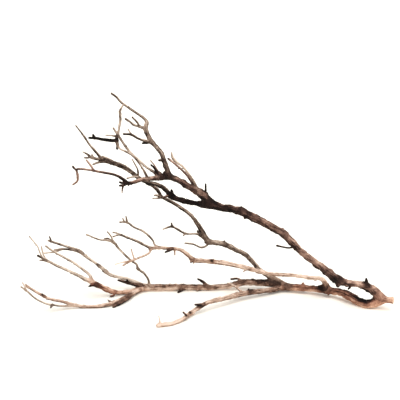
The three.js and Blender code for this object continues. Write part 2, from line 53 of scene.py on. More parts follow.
# Every limb of the frame, from its root to its tip: stations of x, y, z and radius in mm. slot
# names the finish, hue the colours where they are not the slot's own, and sawn a root that is cut
# flat. tone runs from 0, bare pale wood, to 1, black bark, at the root and at the tip. The
# underside figure paints shade on the underside and light on the top; where it is negative, it
# makes the top darker and the underside lighter. patches change the tone around a share of the
# length, over a reach. Spurs are the stubs, thorns and knots on the limb, each with its own tone.
LIMBS = {
    "butt": {
        "sawn": True,
        "slot": "brown_bark",
        "tone": (0.15, 0.33),
        "route": [
            (470, -10, 30, 8.3), (460, -6, 29, 7.5), (451, -1, 28, 8), (437, 6, 27, 11.6),
        ],
    },
    "upper_limb": {
        "slot": "dark_bark",
        "tone": (0.48, 0.71),
        "underside_shade": 0.28,
        "patches": ((0.155, 0.04, -0.3), (0.27, 0.04, 0.12), (0.43, 0.1, -0.2), (0.92, 0.1, 0.2)),
        "route": [
            (442, 4, 29, 9.5), (428, 8, 45, 11), (406, 6, 60, 10), (380, 2, 70, 8),
            (354, -2, 74, 7.7), (335, -6, 81, 9.7), (319, -9, 91, 11.5), (292, -14, 115, 9.4),
            (255, -21, 146, 7.8), (226, -27, 172, 7.8), (207, -31, 194, 8.6), (181, -35, 220, 8.6),
            (138, -37, 247, 8.8), (96, -33, 268, 9.4), (74, -29, 278, 9.2), (30, -18, 283, 8.1),
            (-5, -9, 292, 11.2),
        ],
        "spurs": {
            "top_thorn": (1, [(402, 4, 66, 5), (401, 1, 77, 4), (400, -1, 86, 1.2)]),
            "under_thorn": (0.9, [(363, -2, 72, 2.6), (358, -8, 65, 1.8), (354, -11, 62, 1.3)]),
            "elbow_knob": (0.9, [(329, -8, 85, 7.6), (327, -14, 75, 5.1)]),
            "lone_twig": (0.9, [(215, -30, 186, 2.5), (196, -44, 186, 1.2), (176, -54, 193, 1),
                (165, -60, 198, 1.5)]),
            "belly_knob": (1, [(91, -32, 269, 4.9), (86, -40, 264, 2.7)]),
            "shoulder_knob": (0.7, [(81, -31, 277, 6.2), (78, -27, 284, 3.7)]),
            "back_knob": (0.4, [(186, -34, 218, 6.2), (181, -26, 228, 3.2)]),
            "pale_nub": (0.3, [(233, -26, 166, 4.5), (244, -32, 164, 2)]),
        },
    },
    "lower_limb": {
        "slot": "brown_bark",
        "tone": (0.16, 0.26),
        "underside_shade": -0.25,
        "patches": ((0.38, 0.14, 0.25), (0.63, 0.06, 0.35)),
        "route": [
            (442, 4, 25, 9), (425, 6, 15, 11.1), (405, 12, 11, 10.9), (384, 30, 12, 10.4),
            (366, 48, 17, 10.5), (347, 64, 19, 9.7), (315, 86, 17, 9), (274, 102, 15, 7.7),
            (243, 110, 14, 8.6), (198, 120, 13, 9.1),
        ],
        "spurs": {
            "heel_nub": (0.7, [(317, 84, 17, 4.8), (315, 76, 10, 2.1)]),
            "ridge_nub": (0.7, [(251, 108, 15, 5.4), (251, 114, 23, 2.9)]),
        },
    },
    "arch_limb": {
        "slot": "bare_wood",
        "tone": (0.12, 0.38),
        "underside_shade": 0.22,
        "patches": ((0, 0.05, 0.45),),
        "route": [
            (312, 86, 18, 7.6), (307, 80, 37, 6.8), (295, 72, 55, 5.4), (263, 64, 62, 4.6),
            (211, 62, 70, 4.3), (159, 66, 72, 4.5), (127, 72, 78, 5.2), (91, 78, 86, 5.3),
            (38, 78, 98, 5.6), (-14, 72, 106, 5.5), (-41, 68, 111, 5.5), (-59, 64, 128, 4.9),
            (-77, 60, 142, 3.8), (-108, 54, 148, 3.5), (-136, 48, 152, 3.6), (-153, 44, 151, 3.4),
        ],
        "spurs": {
            "arch_heel": (1.05, [(307, 84, 24, 5.5), (296, 80, 30, 4.6), (290, 78, 31, 2.4)]),
            "arch_knee": (0.9, [(-43, 68, 110, 3.9), (-48, 60, 109, 2.9)]),
            "arch_nub": (0.6, [(-38, 68, 109, 2.6), (-41, 64, 104, 1.6)]),
            "arch_eye": (0.7, [(6, 74, 104, 3.7), (6, 66, 110, 2.6)]),
            "arch_thorn": (0.5, [(112, 75, 81, 2.1), (98, 64, 85, 1.3), (89, 58, 82, 1)]),
            "arch_stub": (1, [(-97, 56, 146, 2.8), (-107, 48, 143, 2.6), (-114, 42, 142, 1.5)]),
            "arch_peg": (0.5, [(-91, 57, 145, 1.8), (-90, 50, 132, 1.2)]),
        },
    },
    "riser_limb": {
        "slot": "dark_bark",
        "hue": "weathered",
        "tone": (0.52, 0.52),
        "underside_shade": 0.25,
        "patches": ((0, 0.12, 0.25), (0.38, 0.12, -0.12)),
        "route": [
            (211, 117, 13, 5.9), (185, 124, 28, 6.4), (158, 132, 41, 6.1), (134, 137, 57, 5.4),
            (115, 140, 79, 5.4), (94, 141, 99, 5.6), (66, 140, 114, 5.8), (38, 137, 129, 6.1),
            (-5, 130, 138, 6.1),
        ],
        "spurs": {
            "riser_nub": (0.8, [(42, 137, 127, 4.5), (40, 136, 137, 1.7)]),
        },
    },
    "long_limb": {
        "slot": "brown_bark",
        "hue": "bare_wood",
        "tone": (0.48, 0.14),
        "underside_shade": -0.3,
        "patches": ((0, 0.16, 0.5), (0.45, 0.12, -0.15), (0.6, 0.05, 0.15), (1, 0.08, 0.15)),
        "route": [
            (198, 120, 13, 6.7), (169, 125, 20, 9.7), (131, 128, 21, 8.5), (96, 130, 22, 8.4),
            (72, 130, 16, 7.5), (45, 129, 11, 6.6), (7, 127, 8, 6.5), (-30, 126, 9, 7),
            (-68, 125, 10, 7.1), (-106, 123, 10, 8.6), (-143, 124, 9, 9.2), (-173, 120, 11, 7.8),
        ],
        "spurs": {
            "long_feather": (0.9, [(-3, 126, 9, 4), (-15, 133, 20, 3), (-30, 139, 27, 1.6)]),
            "long_stub": (1, [(-68, 125, 10, 4), (-77, 115, 4, 3), (-83, 107, 3, 1.7)]),
            "long_fleck": (0.8, [(88, 131, 21, 4), (78, 136, 29, 1.9), (60, 142, 26, 1.9)]),
            "long_bump": (0.6, [(-28, 126, 8, 4.6), (-31, 118, 4, 2.2)]),
            "crest_black_stub": (1, [(-181, 120, 14, 4.6), (-202, 112, 23, 3.7), (-221, 106, 31, 3.3),
                (-242, 100, 40, 1.7)]),
            "crest_black_nub": (1, [(-218, 107, 30, 2.7), (-219, 102, 40, 1.7)]),
        },
    },
    "front_limb": {
        "slot": "bare_wood",
        "tone": (0.5, 0.03),
        "underside_shade": 0.16,
        "patches": ((0, 0.08, 0.25), (0.27, 0.08, 0.12), (0.6, 0.05, 0.25)),
        "route": [
            (203, 118, 13, 4.8), (173, 104, 12, 6.1), (140, 88, 14, 6.1), (104, 69, 18, 6.2),
            (75, 50, 19, 6.2), (43, 26, 21, 5.8), (6, 0, 23, 5.3), (-20, -18, 19, 5),
            (-50, -46, 9, 5.1), (-73, -79, 6, 4.5), (-97, -98, 5, 4.6), (-127, -107, 5, 5.1),
        ],
        "spurs": {
            "bridge_twig": (0.2, [(88, 60, 18, 3.2), (80, 64, 26, 2.5), (71, 80, 28, 2.2), (58, 104, 27, 1.9),
                (50, 118, 24, 1.2)]),
            "front_thorn": (1, [(-17, -22, 22, 3.6), (-26, -30, 26, 2.8), (-37, -36, 29, 1.5)]),
            "front_fork_spur": (0.5, [(-58, -60, 9, 2.3), (-60, -70, 16, 1.8), (-67, -74, 25, 1.1)]),
            "front_nub": (0.6, [(-49, -49, 11, 3.3), (-50, -58, 19, 1.8)]),
            "front_whisker": (0.2, [(-124, -107, 7, 2.5), (-125, -104, 17, 1.2), (-127, -102, 27, 1)]),
            "front_knot_spur": (1, [(106, 70, 18, 4.5), (104, 74, 23, 2.4)]),
        },
    },
    "dark_limb": {
        "slot": "dark_bark",
        "tone": (1.02, 0.92),
        "underside_shade": 0.1,
        "route": [
            (-3, -9, 291, 8.7), (-20, -2, 287, 9.2), (-32, 6, 286, 5.5), (-60, 24, 285, 5),
            (-83, 40, 287, 5.3), (-100, 52, 292, 6.6),
        ],
        "spurs": {
            "dark_knob": (1, [(-94, 48, 288, 5.1), (-97, 44, 308, 2.2)]),
            "dark_spur": (0.8, [(-99, 52, 290, 3.1), (-110, 44, 293, 1.8), (-117, 40, 291, 1.3)]),
        },
    },
    "inner_limb": {
        "slot": "dark_bark",
        "hue": "weathered",
        "tone": (1, 0.67),
        "underside_shade": 0.28,
        "patches": ((0.63, 0.05, -0.2), (0.77, 0.06, 0.15)),
        "route": [
            (-100, 52, 292, 5.8), (-111, 58, 304, 4.8), (-124, 64, 313, 4.6), (-142, 70, 318, 4.1),
            (-163, 74, 322, 3.6), (-181, 76, 331, 4.2), (-201, 77, 348, 4.7), (-226, 75, 364, 4.9),
            (-253, 70, 375, 4.7), (-275, 64, 386, 4.5),
        ],
        "spurs": {
            "inner_spur_low": (0.6, [(-260, 68, 378, 3.3), (-279, 60, 378, 2), (-294, 54, 374, 1.3)]),
            "inner_spur_high": (0.4, [(-238, 72, 370, 2.5), (-254, 78, 380, 1.5), (-272, 83, 387, 1.3)]),
            "inner_prong": (0.5, [(-176, 75, 329, 2.6), (-191, 66, 338, 1.7), (-209, 58, 336, 1.4)]),
            "inner_whisker": (0.5, [(-183, 76, 333, 2), (-183, 68, 355, 1.3), (-190, 62, 373, 1.1),
                (-196, 56, 387, 1)]),
        },
    },
    "inner_high_twig": {
        "slot": "brown_bark",
        "hue": "weathered",
        "tone": (0.52, 0.47),
        "route": [
            (-273, 64, 385, 3), (-284, 60, 401, 2.6), (-302, 53, 426, 2), (-316, 46, 452, 1.6),
            (-332, 40, 477, 1.1),
        ],
    },
    "inner_low_twig": {
        "slot": "brown_bark",
        "hue": "weathered",
        "tone": (0.96, 0.28),
        "route": [
            (-270, 65, 383, 2.8), (-287, 56, 388, 2.9), (-299, 50, 394, 2.8), (-308, 46, 403, 1.4),
            (-317, 43, 409, 1.1),
        ],
        "spurs": {
            "low_prong": (0.5, [(-299, 50, 394, 2), (-306, 44, 394, 1.5), (-314, 40, 395, 1.1)]),
            "low_bump": (0.5, [(-294, 52, 392, 2.5), (-296, 54, 398, 1.5)]),
        },
    },
    "crown_limb": {
        "slot": "dark_bark",
        "tone": (0.69, 0.62),
        "underside_shade": 0.22,
        "patches": ((0, 0.12, 0.4), (1, 0.12, 0.2)),
        "route": [
            (-3, -9, 291, 9.9), (-14, -14, 311, 10.4), (-32, -22, 327, 8.9), (-54, -32, 343, 7.1),
            (-79, -42, 362, 6.1), (-104, -50, 375, 6.8),
        ],
        "spurs": {
            "crown_spike": (0.95, [(-10, -12, 305, 3.2), (-11, -14, 325, 1.7), (-11, -16, 343, 1.2)]),
        },
    },
    "tall_branch": {
        "slot": "brown_bark",
        "hue": "weathered",
        "tone": (0.67, 0.63),
        "underside_shade": 0.22,
        "patches": ((0, 0.05, 0.15),),
        "route": [
            (-100, -49, 373, 5.8), (-104, -47, 389, 5.5), (-111, -43, 408, 5),
            (-118, -38, 428, 4.5), (-130, -32, 442, 4.5), (-144, -26, 456, 5.2),
            (-152, -20, 470, 4.7), (-157, -15, 485, 4.8), (-154, -9, 498, 3.9),
            (-159, -5, 505, 2.7), (-186, 6, 522, 1.7), (-218, 20, 542, 1.7), (-228, 26, 552, 1.7),
            (-241, 33, 560, 1.6),
        ],
        "spurs": {
            "tall_knob": (0.8, [(-113, -42, 412, 3.1), (-124, -50, 414, 1.7)]),
            "tall_tooth": (1, [(-144, -26, 453, 3.2), (-155, -20, 450, 2.4), (-165, -14, 447, 1.3)]),
        },
    },
    "tall_low_twig": {
        "slot": "dark_bark",
        "hue": "weathered",
        "tone": (0.41, 0.86),
        "patches": ((0.33, 0.14, -0.28), (0.8, 0.15, 0.25)),
        "route": [
            (-144, -26, 455, 3.6), (-157, -34, 458, 2.9), (-174, -44, 467, 1.7),
            (-189, -52, 478, 2), (-207, -60, 482, 1.5),
        ],
        "spurs": {
            "tall_low_prong": (0.4, [(-188, -52, 477, 1.4), (-193, -48, 484, 1.2), (-197, -46, 490, 1.1)]),
        },
    },
    "tall_high_twig": {
        "slot": "brown_bark",
        "hue": "weathered",
        "tone": (0.39, 0.64),
        "route": [
            (-157, -15, 483, 2.9), (-171, -8, 487, 2.7), (-185, 0, 489, 2.2), (-196, 6, 496, 1.6),
            (-207, 14, 501, 1.6),
        ],
        "spurs": {
            "tall_high_prong": (0.5, [(-172, -7, 487, 1.9), (-177, -14, 499, 1.6), (-188, -22, 514, 1)]),
        },
    },
    "sweep_limb": {
        "slot": "dark_bark",
        "tone": (0.65, 0.5),
        "underside_shade": 0.28,
        "patches": ((0, 0.06, 0.25), (0.4, 0.05, 0.3)),
        "route": [
            (-101, -49, 374, 6.1), (-115, -55, 373, 6.3), (-129, -61, 373, 5.6),
            (-148, -69, 373, 4.1), (-164, -76, 374, 3.7), (-183, -86, 370, 3.4),
            (-197, -94, 370, 3.5), (-207, -101, 381, 3.1), (-224, -109, 394, 2),
            (-260, -122, 406, 1.9), (-296, -134, 416, 1.6), (-312, -140, 417, 1.7),
            (-310, -144, 404, 2.1), (-311, -146, 391, 1.9), (-321, -148, 383, 1.2),
        ],
        "spurs": {
            "knuckle_top": (1, [(-119, -57, 375, 6), (-125, -54, 382, 4.8), (-131, -51, 385, 2.9)]),
            "knuckle_back": (1, [(-107, -52, 374, 5.3), (-111, -44, 380, 3.4)]),
            "knuckle_prong": (0.9, [(-127, -54, 380, 2.4), (-135, -64, 399, 1.6), (-142, -70, 408, 1.3)]),
            "knuckle_hair": (0.4, [(-124, -56, 381, 1.9), (-134, -48, 399, 1.1), (-144, -44, 411, 1)]),
            "sweep_thorn_a": (1, [(-203, -98, 374, 3.1), (-209, -106, 374, 1.9), (-215, -110, 377, 1.3)]),
            "sweep_thorn_b": (1, [(-199, -95, 370, 3.1), (-208, -89, 363, 2), (-217, -86, 361, 1.4)]),
            "sweep_peg": (0.5, [(-208, -89, 363, 1.4), (-211, -87, 354, 1.2), (-212, -86, 344, 1.1)]),
            "sweep_feather": (0.5, [(-274, -127, 411, 1.8), (-282, -120, 422, 1.5), (-292, -114, 433, 0.9)]),
            "sweep_bulb": (0.9, [(-313, -140, 416, 1.7), (-317, -137, 418, 1.3), (-321, -135, 422, 1.9)]),
        },
    },
    "pale_cross_twig": {
        "slot": "bare_wood",
        "hue": "weathered",
        "tone": (0.38, 0.43),
        "patches": ((0, 0.16, 0.4), (0.42, 0.16, -0.25), (0.72, 0.08, 0.12)),
        "route": [
            (-124, -59, 375, 3.6), (-139, -52, 387, 2.4), (-156, -44, 396, 2.2),
            (-176, -34, 412, 2.6), (-197, -22, 429, 2.4), (-215, -12, 451, 1.8),
            (-227, -4, 468, 2.3), (-236, 0, 481, 1.5),
        ],
    },
    "dark_cross_twig": {
        "slot": "brown_bark",
        "hue": "weathered",
        "tone": (0.52, 0.42),
        "patches": ((1, 0.08, 0.5),),
        "route": [
            (-150, -70, 373, 2.6), (-157, -70, 388, 1.8), (-169, -68, 409, 1.8),
            (-182, -65, 426, 1.9), (-200, -60, 437, 1.7), (-218, -54, 445, 1.8),
            (-224, -50, 457, 3.1), (-225, -44, 473, 2.6),
        ],
        "spurs": {
            "black_needle": (0.5, [(-225, -44, 472, 1.9), (-236, -52, 476, 1.3), (-249, -60, 479, 1)]),
            "cross_drop": (0.8, [(-223, -51, 454, 1.9), (-225, -47, 442, 1.4)]),
        },
    },
    "black_twig": {
        "slot": "dark_bark",
        "tone": (1.1, 1.1),
        "underside_shade": 0.05,
        "route": [
            (-224, -48, 463, 3.3), (-238, -40, 461, 3.1), (-260, -28, 460, 2.6),
            (-276, -20, 461, 2.4), (-294, -12, 460, 1.9),
        ],
        "spurs": {
            "black_lump": (1.15, [(-281, -18, 461, 2.6), (-284, -16, 467, 2.3)]),
        },
    },
    "upright_twig": {
        "slot": "bare_wood",
        "hue": "weathered",
        "tone": (0.37, 0.32),
        "route": [
            (-225, -6, 464, 2), (-223, -2, 477, 2.2), (-219, 2, 501, 2.9), (-219, 4, 523, 2.6),
            (-212, 6, 538, 1.2),
        ],
    },
    "twin_dark_twig": {
        "slot": "dark_bark",
        "tone": (0.69, 0.62),
        "patches": ((0.65, 0.2, -0.28), (1, 0.06, 0.4)),
        "route": [
            (-37, -24, 331, 3.4), (-46, -16, 350, 2.3), (-59, -8, 366, 2.1), (-82, 2, 386, 2),
            (-103, 12, 400, 1.8),
        ],
    },
    "twin_pale_twig": {
        "slot": "bare_wood",
        "hue": "weathered",
        "tone": (0.27, 0.14),
        "route": [
            (-30, -21, 326, 3.2), (-39, -30, 352, 2.4), (-52, -40, 376, 2), (-68, -50, 399, 1.9),
            (-84, -58, 414, 2.4), (-91, -62, 425, 3), (-93, -64, 437, 1.1),
        ],
    },
    "riser_top": {
        "slot": "dark_bark",
        "hue": "weathered",
        "tone": (0.68, 0.64),
        "underside_shade": 0.24,
        "patches": ((0.25, 0.1, 0.12), (0.5, 0.1, -0.1), (0.88, 0.1, 0.15)),
        "route": [
            (-2, 130, 137, 5.6), (-14, 126, 159, 5.8), (-29, 122, 187, 4.9), (-50, 117, 218, 3.7),
            (-77, 112, 241, 3.4), (-103, 107, 259, 3.3), (-127, 103, 273, 3.2),
        ],
        "spurs": {
            "riser_top_tip_a": (0.5, [(-126, 103, 273, 2.6), (-135, 96, 278, 1.8), (-142, 92, 280, 1.3)]),
            "riser_top_tip_b": (0.5, [(-124, 104, 271, 2.6), (-135, 108, 267, 1.6), (-147, 112, 265, 1.2)]),
        },
    },
    "riser_fork": {
        "slot": "brown_bark",
        "hue": "weathered",
        "tone": (0.85, 0.8),
        "route": [
            (-126, 103, 273, 3.1), (-133, 106, 286, 3.8), (-147, 110, 299, 3.1),
            (-164, 114, 305, 1.9),
        ],
    },
    "riser_side_twig": {
        "slot": "brown_bark",
        "hue": "weathered",
        "tone": (0.62, 0.4),
        "patches": ((0.38, 0.16, -0.22), (0.87, 0.06, 0.2)),
        "route": [
            (-5, 130, 139, 3.5), (-24, 122, 158, 2.6), (-35, 114, 166, 2.1), (-64, 100, 172, 2),
            (-82, 92, 186, 2), (-98, 84, 197, 2.2), (-111, 78, 196, 1.8), (-120, 74, 193, 1),
        ],
        "spurs": {
            "side_twig_peg": (0.8, [(-97, 84, 197, 2.1), (-99, 88, 204, 1.6)]),
            "side_twig_nub": (0.9, [(-25, 121, 160, 2.4), (-31, 126, 169, 1.9)]),
            "side_twig_hook": (0.5, [(-63, 100, 172, 1.8), (-69, 94, 168, 1)]),
        },
    },
    "riser_low_twig": {
        "slot": "dark_bark",
        "hue": "weathered",
        "tone": (0.54, 0.64),
        "route": [
            (-1, 131, 135, 2.4), (-8, 124, 129, 1.7), (-21, 116, 127, 1.6), (-43, 106, 140, 1.3),
            (-64, 98, 146, 1.2),
        ],
    },
    "arch_mid_twig": {
        "slot": "bare_wood",
        "hue": "weathered",
        "tone": (0.5, 0.55),
        "route": [
            (-150, 45, 151, 2.8), (-164, 40, 160, 2.6), (-189, 30, 178, 2.4), (-211, 22, 190, 2.2),
            (-230, 14, 200, 1.8), (-244, 8, 197, 1.3),
        ],
        "spurs": {
            "mid_twig_fork": (0.5, [(-225, 16, 198, 1.8), (-236, 22, 201, 1.3), (-246, 26, 202, 1.1)]),
        },
    },
    "arch_low_twig": {
        "slot": "bare_wood",
        "tone": (0.28, 0.48),
        "route": [
            (-150, 45, 151, 2.6), (-157, 34, 142, 2.1), (-181, 20, 135, 1.8), (-205, 6, 130, 1.9),
            (-220, -2, 123, 1.7),
        ],
        "spurs": {
            "low_twig_pale": (0.2, [(-201, 8, 131, 1.8), (-221, -4, 132, 1.4), (-239, -12, 130, 1.1)]),
            "low_twig_hair": (0.3, [(-192, 13, 132, 1.5), (-197, 20, 145, 1.2), (-201, 24, 157, 1)]),
        },
    },
    "arch_high_twig": {
        "slot": "bare_wood",
        "hue": "weathered",
        "tone": (0.34, 0.47),
        "patches": ((0.25, 0.1, 0.25),),
        "route": [
            (-131, 49, 151, 2.6), (-142, 54, 158, 1.9), (-148, 60, 169, 1.9), (-171, 68, 189, 2.1),
            (-196, 76, 198, 2.1), (-214, 82, 209, 1.9), (-233, 88, 208, 1.4),
        ],
        "spurs": {
            "high_twig_peg_a": (0.5, [(-214, 82, 209, 1.9), (-215, 78, 220, 1.7), (-216, 76, 227, 1.2)]),
            "high_twig_peg_b": (0.5, [(-221, 84, 209, 1.6), (-225, 90, 216, 1.4)]),
        },
    },
    "crest_limb": {
        "slot": "brown_bark",
        "hue": "weathered",
        "tone": (0, 0.44),
        "patches": ((0.45, 0.1, -0.1),),
        "route": [
            (-170, 123, 10, 5.9), (-195, 130, 19, 5.4), (-217, 136, 27, 4), (-244, 140, 32, 3.8),
            (-268, 142, 39, 4), (-285, 144, 53, 4.4), (-305, 145, 70, 3.1), (-331, 145, 90, 3.7),
            (-349, 144, 107, 3.7), (-373, 142, 117, 2.8), (-404, 139, 129, 2.3),
            (-428, 136, 139, 2),
        ],
        "spurs": {
            "crest_tip_peg": (0.5, [(-423, 137, 136, 2.1), (-423, 133, 146, 1.7), (-425, 131, 152, 1.2)]),
            "crest_knee": (0.5, [(-279, 143, 47, 4), (-285, 136, 52, 2.7)]),
            "crest_nub": (0.7, [(-297, 145, 63, 3), (-300, 140, 69, 1.9)]),
        },
    },
    "crest_side_twig": {
        "slot": "brown_bark",
        "hue": "weathered",
        "tone": (0.85, 0.8),
        "route": [
            (-342, 145, 100, 2.7), (-357, 140, 108, 2.1), (-377, 134, 115, 1.9),
            (-395, 128, 118, 1.9), (-412, 123, 117, 1.3),
        ],
        "spurs": {
            "side_feather": (0.3, [(-393, 129, 117, 1.7), (-410, 119, 113, 1.3), (-439, 108, 114, 1.2)]),
        },
    },
    "fan_limb": {
        "slot": "brown_bark",
        "tone": (0.12, 0.22),
        "route": [
            (-170, 123, 9, 5.9), (-196, 110, 8, 5.5), (-222, 96, 8, 5.1), (-246, 88, 10, 5.2),
            (-269, 83, 20, 5.8), (-295, 79, 34, 6.1), (-314, 76, 48, 5.3),
        ],
        "spurs": {
            "fan_stub": (1, [(-297, 78, 36, 4.8), (-307, 70, 39, 3.7), (-314, 66, 38, 2.4)]),
            "fan_hook": (0.8, [(-252, 86, 12, 2.9), (-254, 80, 6, 1.6), (-262, 76, 4, 1.2)]),
        },
    },
    "fan_high_twig": {
        "slot": "bare_wood",
        "hue": "weathered",
        "tone": (0.3, 0.38),
        "route": [
            (-310, 76, 46, 4), (-314, 80, 60, 3.2), (-331, 86, 74, 2.9), (-360, 94, 93, 2.5),
            (-384, 100, 105, 2.4), (-408, 106, 117, 2.1), (-432, 112, 132, 1.9),
        ],
    },
    "fan_low_twig": {
        "slot": "bare_wood",
        "hue": "weathered",
        "tone": (0.19, 0.36),
        "route": [
            (-310, 76, 45, 4.7), (-330, 69, 58, 4.3), (-359, 58, 79, 3.4), (-394, 48, 101, 2.8),
            (-420, 39, 119, 2.6), (-437, 34, 123, 1.2),
        ],
        "spurs": {
            "fan_tip_bulb": (0.8, [(-422, 38, 120, 1.9), (-432, 30, 131, 1.5), (-440, 24, 139, 2.2)]),
            "fan_tip_rise": (0.3, [(-418, 40, 117, 1.9), (-428, 46, 129, 1.6), (-432, 50, 139, 1.3),
                (-435, 54, 152, 1.2)]),
            "fan_tip_curl": (0.3, [(-430, 33, 128, 1.5), (-436, 30, 147, 1.3), (-441, 28, 164, 1.2),
                (-449, 26, 176, 1), (-459, 22, 193, 0.9)]),
        },
    },
    "ground_limb": {
        "slot": "bare_wood",
        "tone": (0.24, 0.31),
        "patches": ((0.4, 0.05, 0.3),),
        "route": [
            (-178, 118, 9, 5.1), (-198, 92, 9, 5.6), (-215, 64, 9, 5.8), (-237, 36, 8, 5.7),
            (-261, 17, 7, 4.3), (-289, 9, 5, 4), (-320, 8, 4, 4.1), (-350, 4, 11, 3.7),
            (-380, -2, 23, 3.2), (-413, -6, 33, 3.3), (-439, -10, 50, 2.8), (-467, -14, 71, 2.4),
        ],
        "spurs": {
            "ground_char": (1, [(-212, 66, 8, 4.8), (-224, 42, 6, 4.2), (-238, 22, 5, 3.6),
                (-249, 10, 3, 2.1)]),
            "ground_nub": (0.7, [(-254, 24, 6, 3.6), (-261, 28, 11, 2.1)]),
            "ground_tip_nub": (0.9, [(-424, -8, 40, 2.6), (-428, -12, 47, 1.9)]),
            "ground_tip_peg": (0.3, [(-463, -13, 68, 1.8), (-468, -18, 78, 1.1)]),
        },
    },
    "ground_side_twig": {
        "slot": "bare_wood",
        "hue": "weathered",
        "tone": (0.3, 0.4),
        "route": [
            (-345, 5, 9, 2.6), (-365, -2, 10, 1.9), (-392, -14, 17, 1.8), (-415, -26, 27, 1.8),
            (-440, -38, 46, 1.6), (-459, -48, 70, 1.8), (-473, -54, 85, 1.5),
        ],
        "spurs": {
            "ground_side_nub": (0.9, [(-402, -19, 22, 2.2), (-406, -24, 17, 1.6)]),
            "ground_side_peg": (0.3, [(-463, -50, 74, 1.6), (-464, -50, 83, 1.4), (-470, -47, 93, 1.1)]),
        },
    },
    "stray_twig": {
        "slot": "bare_wood",
        "hue": "weathered",
        "tone": (0.46, 0.44),
        "route": [
            (-162, 124, 11, 3), (-163, 120, 32, 2.5), (-174, 113, 54, 2.3), (-189, 106, 70, 2.4),
            (-193, 99, 86, 2.1), (-208, 91, 101, 2), (-236, 82, 135, 2.2), (-250, 74, 157, 2.6),
            (-266, 68, 165, 2.5), (-284, 61, 169, 1.7), (-316, 50, 187, 1.4),
        ],
        "spurs": {
            "stray_knob": (0.6, [(-188, 106, 68, 2.4), (-192, 101, 73, 1.9)]),
            "stray_web": (0.6, [(-252, 73, 159, 2.3), (-265, 80, 165, 1.6), (-274, 85, 163, 1.2)]),
            "stray_rise": (0.4, [(-249, 75, 155, 2.3), (-252, 66, 168, 1.7), (-255, 60, 179, 1.6),
                (-263, 52, 194, 1.2)]),
        },
    },
}

PITCH_SHARE = 0.36          # ring spacing as a share of the mean radius
PITCH_LEAST = 0.9 * MM
PITCH_MOST = 1.6 * MM
RINGS_LEAST = 4
FACE_WIDTH = 0.95 * MM      # width of one face around a limb
SIDES_LEAST = 12
SIDES_MOST = 60
CURVE_STEPS = 24            # points between two stations

# The rings that close an end: how far out each one is and its radius, both in radii of the end.
BROKEN_END = ((0.3, 0.95), (0.6, 0.8), (0.85, 0.58), (1.0, 0.32), (1.06, 0.08))
SAWN_END = ((0.03, 0.995), (0.07, 0.95), (0.08, 0.9), (0.085, 0.62), (0.09, 0.32), (0.095, 0.06))
SAWN_RIM_RINGS = 2          # rings of a sawn end that still carry bark
ROOT_RELIEF = 0.4           # how much of the ridges is left on the rings that close a root
TIP_RELIEF = 0.7
JAG_WAVES = ((1.0, 3, 9), (0.7, 7, 31))     # height, teeth and turn by seed of a broken end
JAG_HEIGHT = 0.22           # in radii
JAG_RINGS = 3               # rings over which the jags grow

FORK_FILLET = 1.1           # width of the fillet at a fork, in radii of the thinner limb
FORK_SLACK = 0.5 * MM       # added to that width
FORK_STEPS = 7
FORK_STEP = 0.9             # share of the way to the blended surface that one step goes
SEAM_STEP = 0.5             # share of the way back to the seam that one step goes
SEAM_OVERLAP = 0.25 * MM    # how far a surface may run on past the seam
CORE_SHARE = 0.35           # no vertex comes nearer to the spine, in radii
RELIEF_REACH = 1.6          # where the ridges start again beside a fork, in fillets
COLOUR_REACH = 2.2          # how far two limbs' colours mix, in fillets
TOUCH_DEPTH = 0.3 * MM      # two tubes touch when they overlap by more than this
TUBE_MARGIN = 12 * MM       # how far around a tube its distance is measured
FAR_AWAY = 1.0              # the distance given beyond that
BATCH = 4000                # points measured at a time

KNOT_EVERY = 24 * MM
KNOT_SIZE = (0.5, 1.0)      # least and most, in radii of the limb
KNOT_HEIGHT = (0.1, 0.34)   # least and most, in radii of the limb
KNOT_LENGTH = 1.5           # length over width
KNOT_DIP = (0.35, 1.35, 0.4)    # depth, distance and width of the dip around a knot
KNOT_SHADE = (0.0, 0.4)     # least and most darkening
KNOT_SHADE_REACH = 0.7
SPUR_SEED = 0.37            # seed step from one spur to the next

SWELL = 0.7 * MM            # bark and weathered wood over the wood that the frame holds
# Painted shade on the underside and painted light on the top, in tone, where a limb gives no figure of its
# own.
UNDERSIDE_SHADE = 0.32            # how much darker the underside is, where a limb does not say
# Painted shade in the hollow of the loop at the stem: faces that look into it turn darker.
LOOP_HOLLOW = (399, 8, 39)  # middle of the loop at the stem, in mm
LOOP_REACH = 50 * MM
LOOP_NEAR = 0.5             # share of the reach with full shade
LOOP_FACING = (0.1, 0.8)    # how squarely a face looks into the loop, from no shade to full shade
LOOP_SHADE = 0.6


# ---------------------------------------------------------------- node graphs

class Wire:
    """An output socket. An expression on wires adds its Math nodes."""

    def __init__(self, graph, socket):
        self.graph = graph
        self.socket = socket

    def math(self, operation, *values):
        inputs = dict(enumerate(values))
        return self.graph.node("ShaderNodeMath", {"operation": operation}, inputs)

    def __add__(self, other):
        return self.math("ADD", self, other)

    def __radd__(self, other):
        return self.math("ADD", other, self)

    def __sub__(self, other):
        return self.math("SUBTRACT", self, other)

    def __rsub__(self, other):
        return self.math("SUBTRACT", other, self)

    def __mul__(self, other):
        return self.math("MULTIPLY", self, other)

    def __rmul__(self, other):
        return self.math("MULTIPLY", other, self)

    def __truediv__(self, other):
        return self.math("DIVIDE", self, other)

    def step(self, low, high):
        """A smooth step from 0 at low to 1 at high."""
        values = {"Value": self, "From Min": low, "From Max": high}
        return self.graph.node("ShaderNodeMapRange", {"interpolation_type": "SMOOTHSTEP"}, values)


